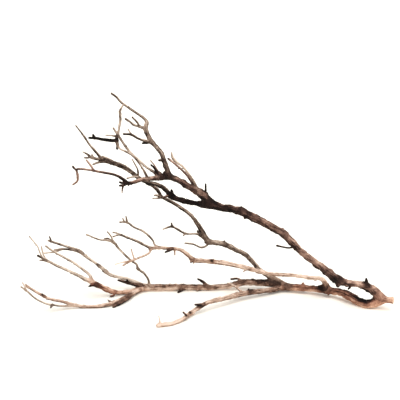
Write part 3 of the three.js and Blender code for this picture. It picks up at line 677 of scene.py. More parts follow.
class Graph:
    """A node tree, with one method that adds any node."""

    def __init__(self, tree):
        self.tree = tree

    def node(self, kind, settings=None, inputs=None, out=0):
        node = self.tree.nodes.new(kind)
        for key, value in (settings or {}).items():
            if key == "stops":
                self.set_stops(node.color_ramp, value)
            else:
                setattr(node, key, value)
        for key, value in (inputs or {}).items():
            if isinstance(value, Wire):
                self.tree.links.new(value.socket, node.inputs[key])
            else:
                node.inputs[key].default_value = value
        return Wire(self, node.outputs[out]) if node.outputs else node

    def set_stops(self, ramp, stops):
        elements = ramp.elements
        while len(elements) > 1:
            elements.remove(elements[-1])
        elements[0].position = stops[0][0]
        elements[0].color = (*stops[0][1], 1.0)
        for place, colour in stops[1:]:
            elements.new(place).color = (*colour, 1.0)


def named(graph, name, kind="FLOAT"):
    """A named attribute in a geometry tree."""
    return graph.node("GeometryNodeInputNamedAttribute", {"data_type": kind}, {"Name": name})


def vector(graph, x, y, z):
    """A vector of three values."""
    return graph.node("ShaderNodeCombineXYZ", None, {"X": x, "Y": y, "Z": z})


def vector_math(graph, operation, first, second=None, scale=None):
    """A Vector Math node with the inputs that its operation takes."""
    inputs = {0: first}
    if second is not None:
        inputs[1] = second
    if scale is not None:
        inputs["Scale"] = scale
    return graph.node("ShaderNodeVectorMath", {"operation": operation}, inputs)


def mixed(graph, factor, first, second):
    """A mix of two colours."""
    return graph.node("ShaderNodeMix", {"data_type": "RGBA"}, {0: factor, 6: first, 7: second}, 2)


def noise(graph, where, scale, detail=2.0, roughness=0.5, w=None):
    """A noise from 0 to 1, in four dimensions where w is given."""
    settings = {"noise_dimensions": "3D" if w is None else "4D"}
    inputs = {"Vector": where, "Scale": scale, "Detail": detail, "Roughness": roughness}
    if w is not None:
        inputs["W"] = w
    return graph.node("ShaderNodeTexNoise", settings, inputs)


# Noises by scale, detail and roughness. The mesh and the finish share the blotches of bark, which
# are about 20 mm wide, and the lumps are about 15 mm across.
BLOTCH = (46.0, 4.0, 0.62)
LUMP = (62.0, 2.0, 0.5)
RIDGE = (1.6, 2.5, 0.5)
CREASE = (1.3, 1.0, 0.5)
CREASE_SEED = 7.0       # keeps the creases apart from the ridges
GROOVE_WIDTH = 0.12
FLUTES_AROUND = 5.0
FLUTE_TWIST = 1.7
FLUTE_WANDER = 9.0
FLUTE_GAIN = 0.22
RIDGE_GAIN = 2.2
LUMP_GAIN = 2.0
BARK_CONTRAST = 1.2
BARK_EDGE = (0.42, 0.56)    # the tones between which bark rises above bare wood


def geometry_tree(name, inputs):
    """A geometry tree with named inputs: its graph, and the inputs as wires."""
    tree = bpy.data.node_groups.new(name, "GeometryNodeTree")
    face = tree.interface
    face.new_socket("Geometry", in_out="INPUT", socket_type="NodeSocketGeometry")
    for label, kind, value in inputs:
        socket = face.new_socket(label, in_out="INPUT", socket_type="NodeSocket" + kind)
        if value is not None:
            socket.default_value = value
    face.new_socket("Geometry", in_out="OUTPUT", socket_type="NodeSocketGeometry")
    graph = Graph(tree)
    group = tree.nodes.new("NodeGroupInput")
    return graph, {socket.name: Wire(graph, socket) for socket in group.outputs if socket.name}


def ended_tree(graph, shape, finish):
    """The tree with its instances realized, its finish set and its output linked."""
    shape = graph.node("GeometryNodeRealizeInstances", None, {"Geometry": shape})
    shape = graph.node("GeometryNodeSetMaterial", None, {"Geometry": shape, "Material": finish})
    end = graph.tree.nodes.new("NodeGroupOutput")
    graph.tree.links.new(shape.socket, end.inputs[0])
    return graph.tree


def limb_skin_tree():
    """A ridged tube along a spine: its radius and its bark follow the spine's attributes."""
    graph, given = geometry_tree("limb_skin", (
        ("Sides", "Int", 24), ("Ridge Depth", "Float", 0.1), ("Ridge Length", "Float", 0.05),
        ("Groove Depth", "Float", 0.1), ("Lump Depth", "Float", 0.2),
        ("Bark Depth", "Float", 0.0004), ("Seed", "Float", 0.0), ("Finish", "Material", None),
    ))
    spine = graph.node("GeometryNodeMeshToCurve", None, {"Mesh": given["Geometry"]})
    girth = named(graph, "girth")
    ring = graph.node(
        "GeometryNodeCurvePrimitiveCircle", {"mode": "RADIUS"},
        {"Resolution": given["Sides"], "Radius": 1.0},
    )
    share = graph.node("GeometryNodeInputIndex") / given["Sides"]
    ring = graph.node(
        "GeometryNodeStoreNamedAttribute", {"data_type": "FLOAT", "domain": "POINT"},
        {"Geometry": ring, "Name": "around", "Value": share},
    )
    tube = graph.node(
        "GeometryNodeCurveToMesh", None,
        {"Curve": spine, "Profile Curve": ring, "Scale": girth, "Fill Caps": True},
    )
    angle = named(graph, "around") * (2 * math.pi)
    along = named(graph, "along") / given["Ridge Length"]
    across = vector(graph, angle.math("COSINE", angle), angle.math("SINE", angle), along)
    ridge = noise(graph, across, *RIDGE, w=given["Seed"]) - 0.5
    wave = angle * FLUTES_AROUND + along * FLUTE_TWIST + ridge * FLUTE_WANDER
    flutes = angle.math("SINE", wave)
    place = graph.node("GeometryNodeInputPosition")
    blotch = noise(graph, place, *BLOTCH)
    bark = (named(graph, "tone") + (blotch - 0.5) * BARK_CONTRAST).step(*BARK_EDGE)
    crease = noise(graph, across, *CREASE, w=given["Seed"] + CREASE_SEED) - 0.5
    groove = 1.0 - crease.math("ABSOLUTE", crease).step(0.0, GROOVE_WIDTH)
    lump = noise(graph, place, *LUMP) - 0.5
    lift = given["Ridge Depth"] * (ridge * RIDGE_GAIN + flutes * FLUTE_GAIN)
    lift = lift + given["Lump Depth"] * lump * LUMP_GAIN
    lift = girth * (lift - given["Groove Depth"] * groove) + bark * given["Bark Depth"]
    outward = vector_math(graph, "SUBTRACT", place, named(graph, "centre", "FLOAT_VECTOR"))
    outward = vector_math(graph, "NORMALIZE", outward)
    offset = vector_math(graph, "SCALE", outward, scale=lift * named(graph, "full"))
    tube = graph.node("GeometryNodeSetPosition", None, {"Geometry": tube, "Offset": offset})
    return ended_tree(graph, tube, given["Finish"])


LOPSIDED = 0.3      # how much narrower a flake is at one end than at the other
LEAST_TURN = (-0.25, -0.12, -0.3)   # least and most random turn of a flake or a peg, in radians
MOST_TURN = (0.25, 0.12, 0.3)


def scatter_tree():
    """Small closed shapes scattered over a surface and laid along its limbs."""
    graph, given = geometry_tree("scatter", (
        ("Density", "Float", 1000.0), ("Seed", "Int", 1), ("Least Girth", "Float", 0.0),
        ("Most Girth", "Float", 1.0), ("Least Tone", "Float", 0.0), ("Smallest", "Float", 0.004),
        ("Largest", "Float", 0.008), ("Width", "Float", 0.3), ("Thickness", "Float", 0.08),
        ("Taper", "Float", 1.5), ("Curl", "Float", 0.5), ("Sink", "Float", 0.02),
        ("Rise", "Float", 0.0), ("Finish", "Material", None),
    ))
    nodes, links = graph.tree.nodes, graph.tree.links
    size = vector(graph, 1.0, given["Width"], given["Thickness"])
    slab = graph.node(
        "GeometryNodeMeshCube", None,
        {"Size": size, "Vertices X": 5, "Vertices Y": 3, "Vertices Z": 2},
    )
    place = graph.node("GeometryNodeInputPosition")
    parts = nodes.new("ShaderNodeSeparateXYZ")
    links.new(place.socket, parts.inputs[0])
    x, y, z = (Wire(graph, socket) for socket in parts.outputs)
    slim = 1.0 - x * x * given["Taper"] - x * LOPSIDED
    bent = z * slim + x * x * given["Curl"] - given["Sink"]
    slab = graph.node(
        "GeometryNodeSetPosition", None,
        {"Geometry": slab, "Position": vector(graph, x, y * slim, bent)},
    )

    girth, tone = named(graph, "girth"), named(graph, "tone")
    wanted = girth.math("GREATER_THAN", girth, given["Least Girth"])
    wanted = wanted * girth.math("LESS_THAN", girth, given["Most Girth"])
    wanted = wanted * tone.math("GREATER_THAN", tone, given["Least Tone"])
    points = nodes.new("GeometryNodeDistributePointsOnFaces")
    for key, value in (
        ("Mesh", given["Geometry"]), ("Selection", wanted), ("Density", given["Density"]),
        ("Seed", given["Seed"]),
    ):
        links.new(value.socket, points.inputs[key])
    upright, way = Wire(graph, points.outputs["Rotation"]), named(graph, "way", "FLOAT_VECTOR")
    turn = graph.node(
        "FunctionNodeAlignRotationToVector", {"axis": "X", "pivot_axis": "Z"},
        {"Rotation": upright, "Vector": way},
    )
    spread = graph.node(
        "FunctionNodeRandomValue", {"data_type": "FLOAT_VECTOR"},
        {"Min": LEAST_TURN, "Max": MOST_TURN, "Seed": given["Seed"]},
    )
    spread = vector_math(graph, "SUBTRACT", spread, vector(graph, 0.0, given["Rise"], 0.0))
    turn = graph.node(
        "FunctionNodeRotateRotation", {"rotation_space": "LOCAL"},
        {"Rotation": turn, "Rotate By": spread},
    )
    scale = graph.node(
        "FunctionNodeRandomValue", {"data_type": "FLOAT"},
        {2: given["Smallest"], 3: given["Largest"], "Seed": given["Seed"]}, 1,
    )
    laid = graph.node(
        "GeometryNodeInstanceOnPoints", None,
        {"Points": Wire(graph, points.outputs["Points"]), "Instance": slab, "Rotation": turn,
         "Scale": scale},
    )
    return ended_tree(graph, laid, given["Finish"])


def set_inputs(modifier, values):
    """Sets a Geometry Nodes modifier's inputs by their identifiers."""
    for item in modifier.node_group.interface.items_tree:
        if item.item_type == "SOCKET" and item.in_out == "INPUT" and item.name in values:
            modifier[item.identifier] = values[item.name]


def placed(name, data):
    """A new object in the scene."""
    item = bpy.data.objects.new(name, data)
    bpy.context.collection.objects.link(item)
    return item


def grown_mesh(source, tree, values):
    """The plain mesh that a Geometry Nodes tree grows on a source mesh."""
    holder = placed("holder", source)
    modifier = holder.modifiers.new("grow", "NODES")
    modifier.node_group = tree
    set_inputs(modifier, values)
    holder.update_tag()
    scene_graph = bpy.context.evaluated_depsgraph_get()
    mesh = bpy.data.meshes.new_from_object(holder.evaluated_get(scene_graph))
    bpy.data.objects.remove(holder)
    bpy.data.meshes.remove(source)
    return mesh


# ---------------------------------------------------------------- spines

def smooth(values, low, high):
    """A smooth step from 0 at low to 1 at high."""
    share = np.clip((values - low) / (high - low), 0.0, 1.0)
    return share * share * (3.0 - 2.0 * share)


def curve_through(stations):
    """A smooth curve through the stations, as points with their radii."""
    spots = stations[:, :3]
    last = len(spots) - 1
    rows = []
    for i in range(last):
        p1, p2 = spots[i], spots[i + 1]
        p0 = spots[i - 1] if i else 2 * p1 - p2
        p3 = spots[i + 2] if i + 2 <= last else 2 * p2 - p1
        d0, d1, d2 = (np.linalg.norm(b - a) ** 0.5 for a, b in ((p0, p1), (p1, p2), (p2, p3)))
        t1 = ((p1 - p0) / d0 - (p2 - p0) / (d0 + d1) + (p2 - p1) / d1) * d1
        t2 = ((p2 - p1) / d1 - (p3 - p1) / (d1 + d2) + (p3 - p2) / d2) * d1
        for t in np.arange(CURVE_STEPS) / CURVE_STEPS:
            point = p1 + t1 * t + (3 * (p2 - p1) - 2 * t1 - t2) * t * t
            point = point + (2 * (p1 - p2) + t1 + t2) * t ** 3
            rows.append((*point, np.interp(t, (0, 1), stations[i:i + 2, 3])))
    rows.append(tuple(stations[-1]))
    return np.array(rows)


class Tube:
    """One limb or spur: an even spine with its radius and tone, and its own random draw."""

    def __init__(self, stations, hue, tone, underside_shade, seed, patches=(), sawn=False):
        self.sawn = sawn
        self.hue = HUES[hue]
        self.underside_shade = underside_shade
        self.seed = seed
        rows = curve_through(np.array(stations, float) * MM)
        strides = np.linalg.norm(np.diff(rows[:, :3], axis=0), axis=1)
        arc = np.concatenate(([0.0], np.cumsum(strides)))
        rows[:, 3] += SWELL
        radius = float(rows[:, 3].mean())
        pitch = min(max(radius * PITCH_SHARE, PITCH_LEAST), PITCH_MOST)
        even = np.linspace(0.0, arc[-1], max(RINGS_LEAST, int(round(arc[-1] / pitch)) + 1))
        self.core = np.stack([np.interp(even, arc, rows[:, i]) for i in range(4)], axis=1)
        self.length = arc[-1]
        share = even / self.length
        shade = tone[0] + (tone[1] - tone[0]) * share
        for at, reach, change in patches:
            shade = shade + change * np.exp(-((share - at) / reach) ** 2)
        self.core_tone = shade
        self.core_along = even
        self.sides = int(min(max(2 * math.pi * radius / FACE_WIDTH, SIDES_LEAST), SIDES_MOST))
        self.add_ends()
        margin = self.core[:, 3].max() + TUBE_MARGIN
        self.low = self.core[:, :3].min(axis=0) - margin
        self.high = self.core[:, :3].max(axis=0) + margin

    def add_ends(self):
        """Adds the rings that close both ends, each a little further out and narrower."""
        core, along, tone = self.core, self.core_along, self.core_tone
        root_way = core[0, :3] - core[1, :3]
        root_way /= np.linalg.norm(root_way)
        tip_way = core[-1, :3] - core[-2, :3]
        tip_way /= np.linalg.norm(tip_way)
        root, tip = [], []
        for out, narrow in reversed(SAWN_END if self.sawn else BROKEN_END):
            root.append((*(core[0, :3] + root_way * out * core[0, 3]), core[0, 3] * narrow))
        for out, narrow in BROKEN_END:
            tip.append((*(core[-1, :3] + tip_way * out * core[-1, 3]), core[-1, 3] * narrow))
        self.rings = np.concatenate((root, core, tip))
        self.along = np.concatenate(([along[0]] * len(root), along, [along[-1]] * len(tip)))
        self.tone = np.concatenate(([tone[0]] * len(root), tone, [tone[-1]] * len(tip)))
        self.capped = len(root)
        self.tip_from = len(root) + len(core)
        self.tip_way = tip_way

    def spine_mesh(self):
        """The spine as a chain of edges, with the attributes that the skin follows."""
        count = len(self.rings)
        mesh = bpy.data.meshes.new("spine")
        edges = [(i, i + 1) for i in range(count - 1)]
        mesh.from_pydata(self.rings[:, :3].tolist(), edges, [])
        full = np.ones(count)
        full[:self.capped] = ROOT_RELIEF
        full[self.tip_from:] = TIP_RELIEF
        columns = {"girth": self.rings[:, 3], "along": self.along, "tone": self.tone, "full": full}
        columns["order"] = np.arange(count, dtype=float)
        for name, values in columns.items():
            write_column(mesh, name, values)
        write_vectors(mesh, "centre", self.rings[:, :3])
        return mesh

    def reach(self, points):
        """Signed distance from this tube, and its radius, tone and hue there."""
        distance = np.full(len(points), FAR_AWAY)
        radius = np.full(len(points), MM)
        tone = np.zeros(len(points))
        near = np.flatnonzero(((points > self.low) & (points < self.high)).all(axis=1))
        for part in np.array_split(near, len(near) // BATCH + 1):
            if not len(part):
                continue
            apart = points[part][:, None, :] - self.core[None, :, :3]
            gap = np.sqrt((apart ** 2).sum(axis=2)) - self.core[None, :, 3]
            nearest = gap.argmin(axis=1)
            distance[part] = gap[np.arange(len(part)), nearest]
            radius[part] = self.core[nearest, 3]
            tone[part] = self.core_tone[nearest]
        return distance, radius, tone, np.full(len(points), self.hue)


def write_column(mesh, name, values):
    """Keeps one number for each vertex on a mesh."""
    column = mesh.attributes.new(name, "FLOAT", "POINT")
    column.data.foreach_set("value", np.asarray(values, np.float32))


def write_vectors(mesh, name, values):
    """Keeps one vector for each vertex on a mesh."""
    column = mesh.attributes.new(name, "FLOAT_VECTOR", "POINT")
    column.data.foreach_set("vector", values.astype(np.float32).ravel())


def read_points(mesh):
    """The places of a mesh's vertices."""
    points = np.empty(len(mesh.vertices) * 3, np.float32)
    mesh.vertices.foreach_get("co", points)
    return points.reshape(-1, 3)


def read_column(mesh, name, width=1):
    """The numbers, or vectors of the given width, that a mesh keeps by vertex."""
    values = np.empty(len(mesh.vertices) * width, np.float32)
    mesh.attributes[name].data.foreach_get("vector" if width > 1 else "value", values)
    return values.reshape(-1, width).astype(float) if width > 1 else values.astype(float)


def limb_tubes(limb, seed):
    """The tubes of one limb: the limb itself, then its spurs."""
    hue = limb.get("hue", limb["slot"])
    tubes = [Tube(
        limb["route"], hue, limb["tone"], limb.get("underside_shade", UNDERSIDE_SHADE), seed,
        limb.get("patches", ()), limb.get("sawn", False),
    )]
    for i, (tone, stations) in enumerate(limb.get("spurs", {}).values()):
        tubes.append(Tube(stations, hue, (tone, tone), UNDERSIDE_SHADE, seed + SPUR_SEED * (i + 1)))
    return tubes


def touching(tube, others):
    """The other tubes that this one runs into."""
    found = []
    for other in others:
        if other is tube or (other.low > tube.high).any() or (other.high < tube.low).any():
            continue
        gap = other.reach(tube.core[:, :3])[0] - tube.core[:, 3]
        if gap.min() < -TOUCH_DEPTH:
            found.append(other)
    return found


def nearest_of(others, points):
    """Distance, radius, tone and hue of the nearest of the other tubes."""
    best = others[0].reach(points)
    for other in others[1:]:
        seen = other.reach(points)
        closer = seen[0] < best[0]
        best = tuple(np.where(closer, new, old) for new, old in zip(seen, best))
    return best


def knots(tube, along, angle, girth):
    """Low knots, drawn at random along the limb: how far each vertex stands out, and its tone."""
    draw = np.random.default_rng(int(tube.seed * 100) + 7)
    depth, ring, width = KNOT_DIP
    lift = np.zeros(len(along))
    tone = np.zeros(len(along))
    for _ in range(int(tube.length / KNOT_EVERY)):
        at, turn = draw.uniform(0, tube.length), draw.uniform(0, 2 * math.pi)
        wide = draw.uniform(*KNOT_SIZE)
        radius = np.interp(at, tube.core_along, tube.core[:, 3])
        side = (np.mod(angle - turn + math.pi, 2 * math.pi) - math.pi) * girth
        away = np.sqrt(((along - at) / KNOT_LENGTH) ** 2 + side ** 2) / (radius * wide)
        height = draw.uniform(*KNOT_HEIGHT) * radius
        lift += height * (np.exp(-away ** 2) - depth * np.exp(-((away - ring) / width) ** 2))
        tone += draw.uniform(*KNOT_SHADE) * np.exp(-(away / KNOT_SHADE_REACH) ** 2)
    return lift, tone


def painted_loop_shade(points, outward):
    """Painted shade: how much darker each vertex is for facing the hollow of the loop at the stem."""
    toward = np.array(LOOP_HOLLOW) * MM - points
    distance = np.linalg.norm(toward, axis=1)
    facing = (outward * toward).sum(axis=1) / distance
    near = 1 - smooth(distance, LOOP_NEAR * LOOP_REACH, LOOP_REACH)
    return LOOP_SHADE * smooth(facing, *LOOP_FACING) * near


def flow_into(others, points, centre, outward, girth, full, tone):
    """A tube's surface where it meets others: how far each vertex stands from the spine, its tone,
    the neighbour's hue, the neighbour's share of the colour, and how deep it is in the fork."""
    start, other_radius = nearest_of(others, points)[:2]
    fillet = FORK_FILLET * np.minimum(girth, other_radius) + FORK_SLACK
    calm = smooth(start, 0.0, RELIEF_REACH * fillet)
    surface = girth + (full - girth) * calm
    rho = surface.copy()
    for _ in range(FORK_STEPS):
        seen = nearest_of(others, centre + outward * rho[:, None])
        other, other_radius, other_tone, other_hue = seen
        own = rho - surface
        fillet = FORK_FILLET * np.minimum(girth, other_radius) + FORK_SLACK
        overlap = np.maximum(fillet - np.abs(own - other), 0.0)
        blended = np.minimum(own, other) - overlap ** 2 / (4 * fillet)
        past = own - other - SEAM_OVERLAP
        rho = rho - np.where(past > 0, SEAM_STEP * past, FORK_STEP * blended)
        rho = np.clip(rho, CORE_SHARE * girth, surface + fillet)
    beside = np.maximum(other - (rho - surface), 0.0)
    share = 0.5 * (1 - smooth(beside, 0.0, COLOUR_REACH * fillet))
    tone = tone * (1 - share) + other_tone * share
    return rho, tone, other_hue, share, 1 - smooth(beside, 0.0, RELIEF_REACH * fillet)


def tube_surface(tube, tree, material, others, sizes):
    """The finished vertices, faces and columns of one tube, flowing into the tubes it meets."""
    values = {
        "Sides": tube.sides, "Ridge Depth": sizes.ridge_depth, "Ridge Length": sizes.ridge_length,
        "Groove Depth": sizes.groove_depth, "Lump Depth": sizes.lump_depth,
        "Bark Depth": sizes.bark_depth, "Seed": tube.seed, "Finish": material,
    }
    mesh = grown_mesh(tube.spine_mesh(), tree, values)
    points = read_points(mesh).astype(float)
    centre = read_column(mesh, "centre", 3)
    along, girth, tone = (read_column(mesh, key) for key in ("along", "girth", "tone"))
    order = read_column(mesh, "order")
    angle = read_column(mesh, "around") * 2 * math.pi
    outward = points - centre
    radius = np.linalg.norm(outward, axis=1)
    outward /= radius[:, None]
    jag = sum(
        height * np.sin(angle * teeth + tube.seed * turn) for height, teeth, turn in JAG_WAVES
    )
    at_tip = np.clip((order - tube.tip_from + JAG_RINGS - 1) / JAG_RINGS, 0, 1)
    centre = centre + tube.tip_way * (jag * JAG_HEIGHT * (at_tip * tube.core[-1, 3]))[:, None]
    lift, darker = knots(tube, along, angle, girth)
    full = radius + np.where(order < tube.capped, 0.0, lift * sizes.knots)
    tone = tone + darker
    fork, share = np.zeros(len(points)), np.zeros(len(points))
    hue = np.full(len(points), tube.hue)
    near_hue = hue
    if others:
        full, tone, near_hue, share, fork = flow_into(
            others, points, centre, outward, girth, full, tone,
        )
    points = centre + outward * full[:, None]
    points[:, 2] = np.maximum(points[:, 2], 0.0)
    # Painted shade and light: the underside darker and the top lighter by the outward normal, less in a fork,
    # and painted shade on faces in the loop's hollow.
    tone = tone - tube.underside_shade * outward[:, 2] * (1 - fork) + painted_loop_shade(points, outward)
    faces = [tuple(face.vertices) for face in mesh.polygons]
    bpy.data.meshes.remove(mesh)
    grain = np.stack((np.cos(angle) * girth, np.sin(angle) * girth, along + tube.seed), axis=1)
    cut = np.zeros(len(points))
    if tube.sawn:
        cut = order < tube.capped - SAWN_RIM_RINGS
    way = np.gradient(tube.rings[:, :3], axis=0)[np.clip(order, 0, len(tube.rings) - 1).astype(int)]
    columns = {"tone": tone, "hue": hue, "near_hue": near_hue, "share": share}
    columns.update(fork=fork, cut=cut, girth=girth)
    return points, faces, columns, {"grain": grain, "way": way}


def limb_piece(name, tubes, every, tree, material, sizes):
    """One limb with its spurs as one mesh, in place of its node in the frame."""
    points, faces = [], []
    columns, vectors = {}, {}
    for tube in tubes:
        others = touching(tube, every)
        spots, rounds, found, ways = tube_surface(tube, tree, material, others, sizes)
        start = sum(len(part) for part in points)
        points.append(spots)
        faces += [tuple(i + start for i in face) for face in rounds]
        for key, values in found.items():
            columns.setdefault(key, []).append(values)
        for key, values in ways.items():
            vectors.setdefault(key, []).append(values)
    mesh = bpy.data.meshes.new(name + "_wood")
    mesh.from_pydata(np.concatenate(points).tolist(), [], faces)
    for key, values in columns.items():
        write_column(mesh, key, np.concatenate(values))
    for key, values in vectors.items():
        write_vectors(mesh, key, np.concatenate(values))
    mesh.polygons.foreach_set("use_smooth", [True] * len(mesh.polygons))
    mesh.materials.append(material)
    mesh.update()
    piece = placed(name + "_wood", mesh)
    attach(piece, "root")
    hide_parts(name)
    return piece


def joined_mesh(pieces):
    """One mesh of copies of several pieces' meshes."""
    copies = [placed("copy", piece.data.copy()) for piece in pieces]
    with bpy.context.temp_override(active_object=copies[0], selected_editable_objects=copies):
        bpy.ops.object.join()
    mesh = copies[0].data
    bpy.data.objects.remove(copies[0])
    return mesh


def scattered_piece(name, pieces, slot, values):
    """Flakes or pegs scattered over finished limbs, as one piece."""
    values = dict(values, Finish=finish_named(slot))
    mesh = grown_mesh(joined_mesh(pieces), scatter_tree_made(), values)
    spots = read_points(mesh)
    spots[:, 2] = np.maximum(spots[:, 2], 0.0)
    mesh.vertices.foreach_set("co", spots.ravel())
    mesh.update()
    piece = placed(name, mesh)
    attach(piece, "root")
    return piece


# ---------------------------------------------------------------- finishes

GRAIN_STRETCH = (1.0, 1.0, 0.11)
CRACK_STRETCH = (1.0, 1.0, 0.06)

# The finish's noises by scale, detail and roughness.
BAND = (190.0, 3.0, 0.55)
STREAK = (520.0, 4.0, 0.65)
FIBRE = (1500.0, 2.0, 0.5)
SPECK = (420.0, 3.0, 0.6)
CRACK = (330.0, 3.0, 0.5)
GROWTH_RING = (900.0, 3.0, 0.5)

FORK_CALM = 0.85            # how far the grain fades in a fork
CRACK_EDGE = (0.004, 0.03)
# Cracks are darkened in colour as well as sunk by the bump: painted shade in them.
CRACK_SHADE = 0.28
FIBRE_SHADE = 0.12
DARK_EDGE = (0.35, 0.75)    # the tones between which wood turns into rough dark bark
DARK_ROUGHNESS = 0.12
SPECK_ROUGHNESS = 0.25
# How far each pattern lifts the surface in the finish, before the bump distance.
RELIEF = {"streak": 0.55, "speck": 0.5, "fibre": 0.3, "crack": 0.9, "dark": 0.35}
BUMP_STRENGTH = 0.55
BUMP_DISTANCE = 1.1 * MM
WOOD_SPECULAR = 0.12


def wood_material(name, roughness, look):
    """Weathered wood: bands, streaks, cracks and specks, coloured by its tone and its hue."""
    material = bpy.data.materials.new(name)
    material.use_nodes = True
    tree = material.node_tree
    tree.nodes.clear()
    graph = Graph(tree)

    def column(key, out="Fac"):
        return graph.node("ShaderNodeAttribute", {"attribute_name": key}, None, out)

    place = graph.node("ShaderNodeTexCoord", None, None, "Object")
    grain = column("grain", "Vector")
    stretched = vector_math(graph, "MULTIPLY", grain, GRAIN_STRETCH)
    threads = vector_math(graph, "MULTIPLY", grain, CRACK_STRETCH)
    fork = column("fork")
    along = 1.0 - fork * FORK_CALM
    band = noise(graph, stretched, *BAND) - 0.5
    streak = noise(graph, stretched, *STREAK) - 0.5
    fibre = noise(graph, stretched, *FIBRE) - 0.5
    blotch = noise(graph, place, *BLOTCH) - 0.5
    speck = noise(graph, place, *SPECK) - 0.5
    crack = noise(graph, threads, *CRACK) - 0.5
    crack = (1.0 - crack.math("ABSOLUTE", crack).step(*CRACK_EDGE)) * along
    # The tone column carries the painted shade of undersides and of the loop's hollow and the painted light
    # of tops, beside the wood's own tone.
    shade = column("tone") + blotch * look.blotches + band * along * look.bands
    shade = shade + streak * along * look.streaks + speck * look.specks
    shade = shade + crack * CRACK_SHADE + fibre * along * FIBRE_SHADE
    ramps = [
        graph.node("ShaderNodeValToRGB", {"stops": stops}, {"Fac": shade})
        for stops in COLOURS.values()
    ]
    own, other = ramps[0], ramps[0]
    for rank, ramp in enumerate(ramps[1:]):
        own = mixed(graph, column("hue") - rank, own, ramp)
        other = mixed(graph, column("near_hue") - rank, other, ramp)
    colour = mixed(graph, column("share"), own, other)
    ring = noise(graph, place, *GROWTH_RING)
    pale = graph.node("ShaderNodeValToRGB", {"stops": END_GRAIN}, {"Fac": ring})
    colour = mixed(graph, column("cut"), colour, pale)
    dark = shade.step(*DARK_EDGE)
    rough = roughness + dark * DARK_ROUGHNESS + speck * SPECK_ROUGHNESS
    height = streak * RELIEF["streak"] * along + speck * RELIEF["speck"]
    height = height + fibre * RELIEF["fibre"] * along
    height = height - crack * RELIEF["crack"] + dark * RELIEF["dark"]
    bump = graph.node(
        "ShaderNodeBump", None,
        {"Strength": BUMP_STRENGTH, "Distance": BUMP_DISTANCE, "Height": height},
    )
    shader = graph.node(
        "ShaderNodeBsdfPrincipled", None,
        {"Base Color": colour, "Roughness": rough, "Normal": bump,
         "Specular IOR Level": WOOD_SPECULAR},
    )
    graph.node("ShaderNodeOutputMaterial", None, {"Surface": shader})
    return material


# ---------------------------------------------------------------- settings

class BranchSizes(bpy.types.PropertyGroup):
    """Sizes of the surface detail."""

    ridge_depth: FloatProperty(
        name="Ridge Depth", description="Height of the ridges, as a share of a limb's radius",
        default=0.16, min=0.0, max=0.5)
    ridge_length: FloatProperty(
        name="Ridge Length", description="Length of one ridge along a limb",
        default=0.035, min=0.005, unit="LENGTH")
    groove_depth: FloatProperty(
        name="Groove Depth", description="Depth of the long grooves, as a share of a limb's radius",
        default=0.14, min=0.0, max=0.5)
    lump_depth: FloatProperty(
        name="Lump Depth", description="Height of the lumps, as a share of a limb's radius",
        default=0.24, min=0.0, max=0.6)
    bark_depth: FloatProperty(
        name="Bark Depth", description="How far bark stands above bare wood",
        default=0.0005, min=0.0, unit="LENGTH")
    knots: FloatProperty(
        name="Knots", description="Height of the knots, 1 as drawn", default=1.0, min=0.0, max=3.0)


class BranchFinish(bpy.types.PropertyGroup):
    """Strength of the pattern in the bark and the wood."""

    blotches: FloatProperty(
        name="Blotches", description="Contrast of the bark blotches", default=0.9, min=0.0, max=3.0)
    bands: FloatProperty(
        name="Bands", description="Contrast of the long bands of bare wood and bark",
        default=1.3, min=0.0, max=3.0)
    streaks: FloatProperty(
        name="Streaks", description="Contrast of the streaks along the grain",
        default=0.7, min=0.0, max=3.0)
    specks: FloatProperty(
        name="Specks", description="Contrast of the fine specks", default=0.5, min=0.0, max=3.0)


class BranchLight(bpy.types.PropertyGroup):
    """The plain studio around the branch."""

    key_power: FloatProperty(
        name="Key Light", description="Strength of the wide soft light above", default=3.0, min=0.0)
    sky: FloatProperty(
        name="Surround", description="Strength of the even white surround", default=0.75, min=0.0)
    floor_colour: FloatVectorProperty(
        name="Floor", description="Colour of the floor", default=(0.94, 0.9, 0.82),
        subtype="COLOR", size=3, min=0.0, max=1.0)


# Colours by tone, for each hue of wood, in the order that a hue number counts them.
COLOURS = {
    "bare_wood": (
        (0.0, (0.74, 0.56, 0.45)), (0.25, (0.5, 0.35, 0.265)), (0.45, (0.27, 0.155, 0.105)),
        (0.7, (0.065, 0.033, 0.023)), (1.0, (0.008, 0.0045, 0.0036)),
    ),
    "brown_bark": (
        (0.0, (0.7, 0.46, 0.33)), (0.25, (0.44, 0.23, 0.15)), (0.48, (0.2, 0.083, 0.052)),
        (0.72, (0.042, 0.017, 0.012)), (1.0, (0.0055, 0.003, 0.0024)),
    ),
    "weathered": (
        (0.0, (0.66, 0.54, 0.44)), (0.25, (0.43, 0.33, 0.26)), (0.48, (0.2, 0.14, 0.105)),
        (0.72, (0.05, 0.031, 0.023)), (1.0, (0.006, 0.0036, 0.0028)),
    ),
    "dark_bark": (
        (0.0, (0.55, 0.38, 0.29)), (0.3, (0.3, 0.18, 0.135)), (0.5, (0.14, 0.076, 0.056)),
        (0.74, (0.032, 0.0155, 0.012)), (1.0, (0.0045, 0.0024, 0.002)),
    ),
}
END_GRAIN = ((0.3, (0.62, 0.36, 0.24)), (0.7, (0.85, 0.62, 0.45)))
HUES = {hue: float(rank) for rank, hue in enumerate(COLOURS)}
ROUGHNESS = {"bare_wood": 0.62, "brown_bark": 0.68, "dark_bark": 0.74}

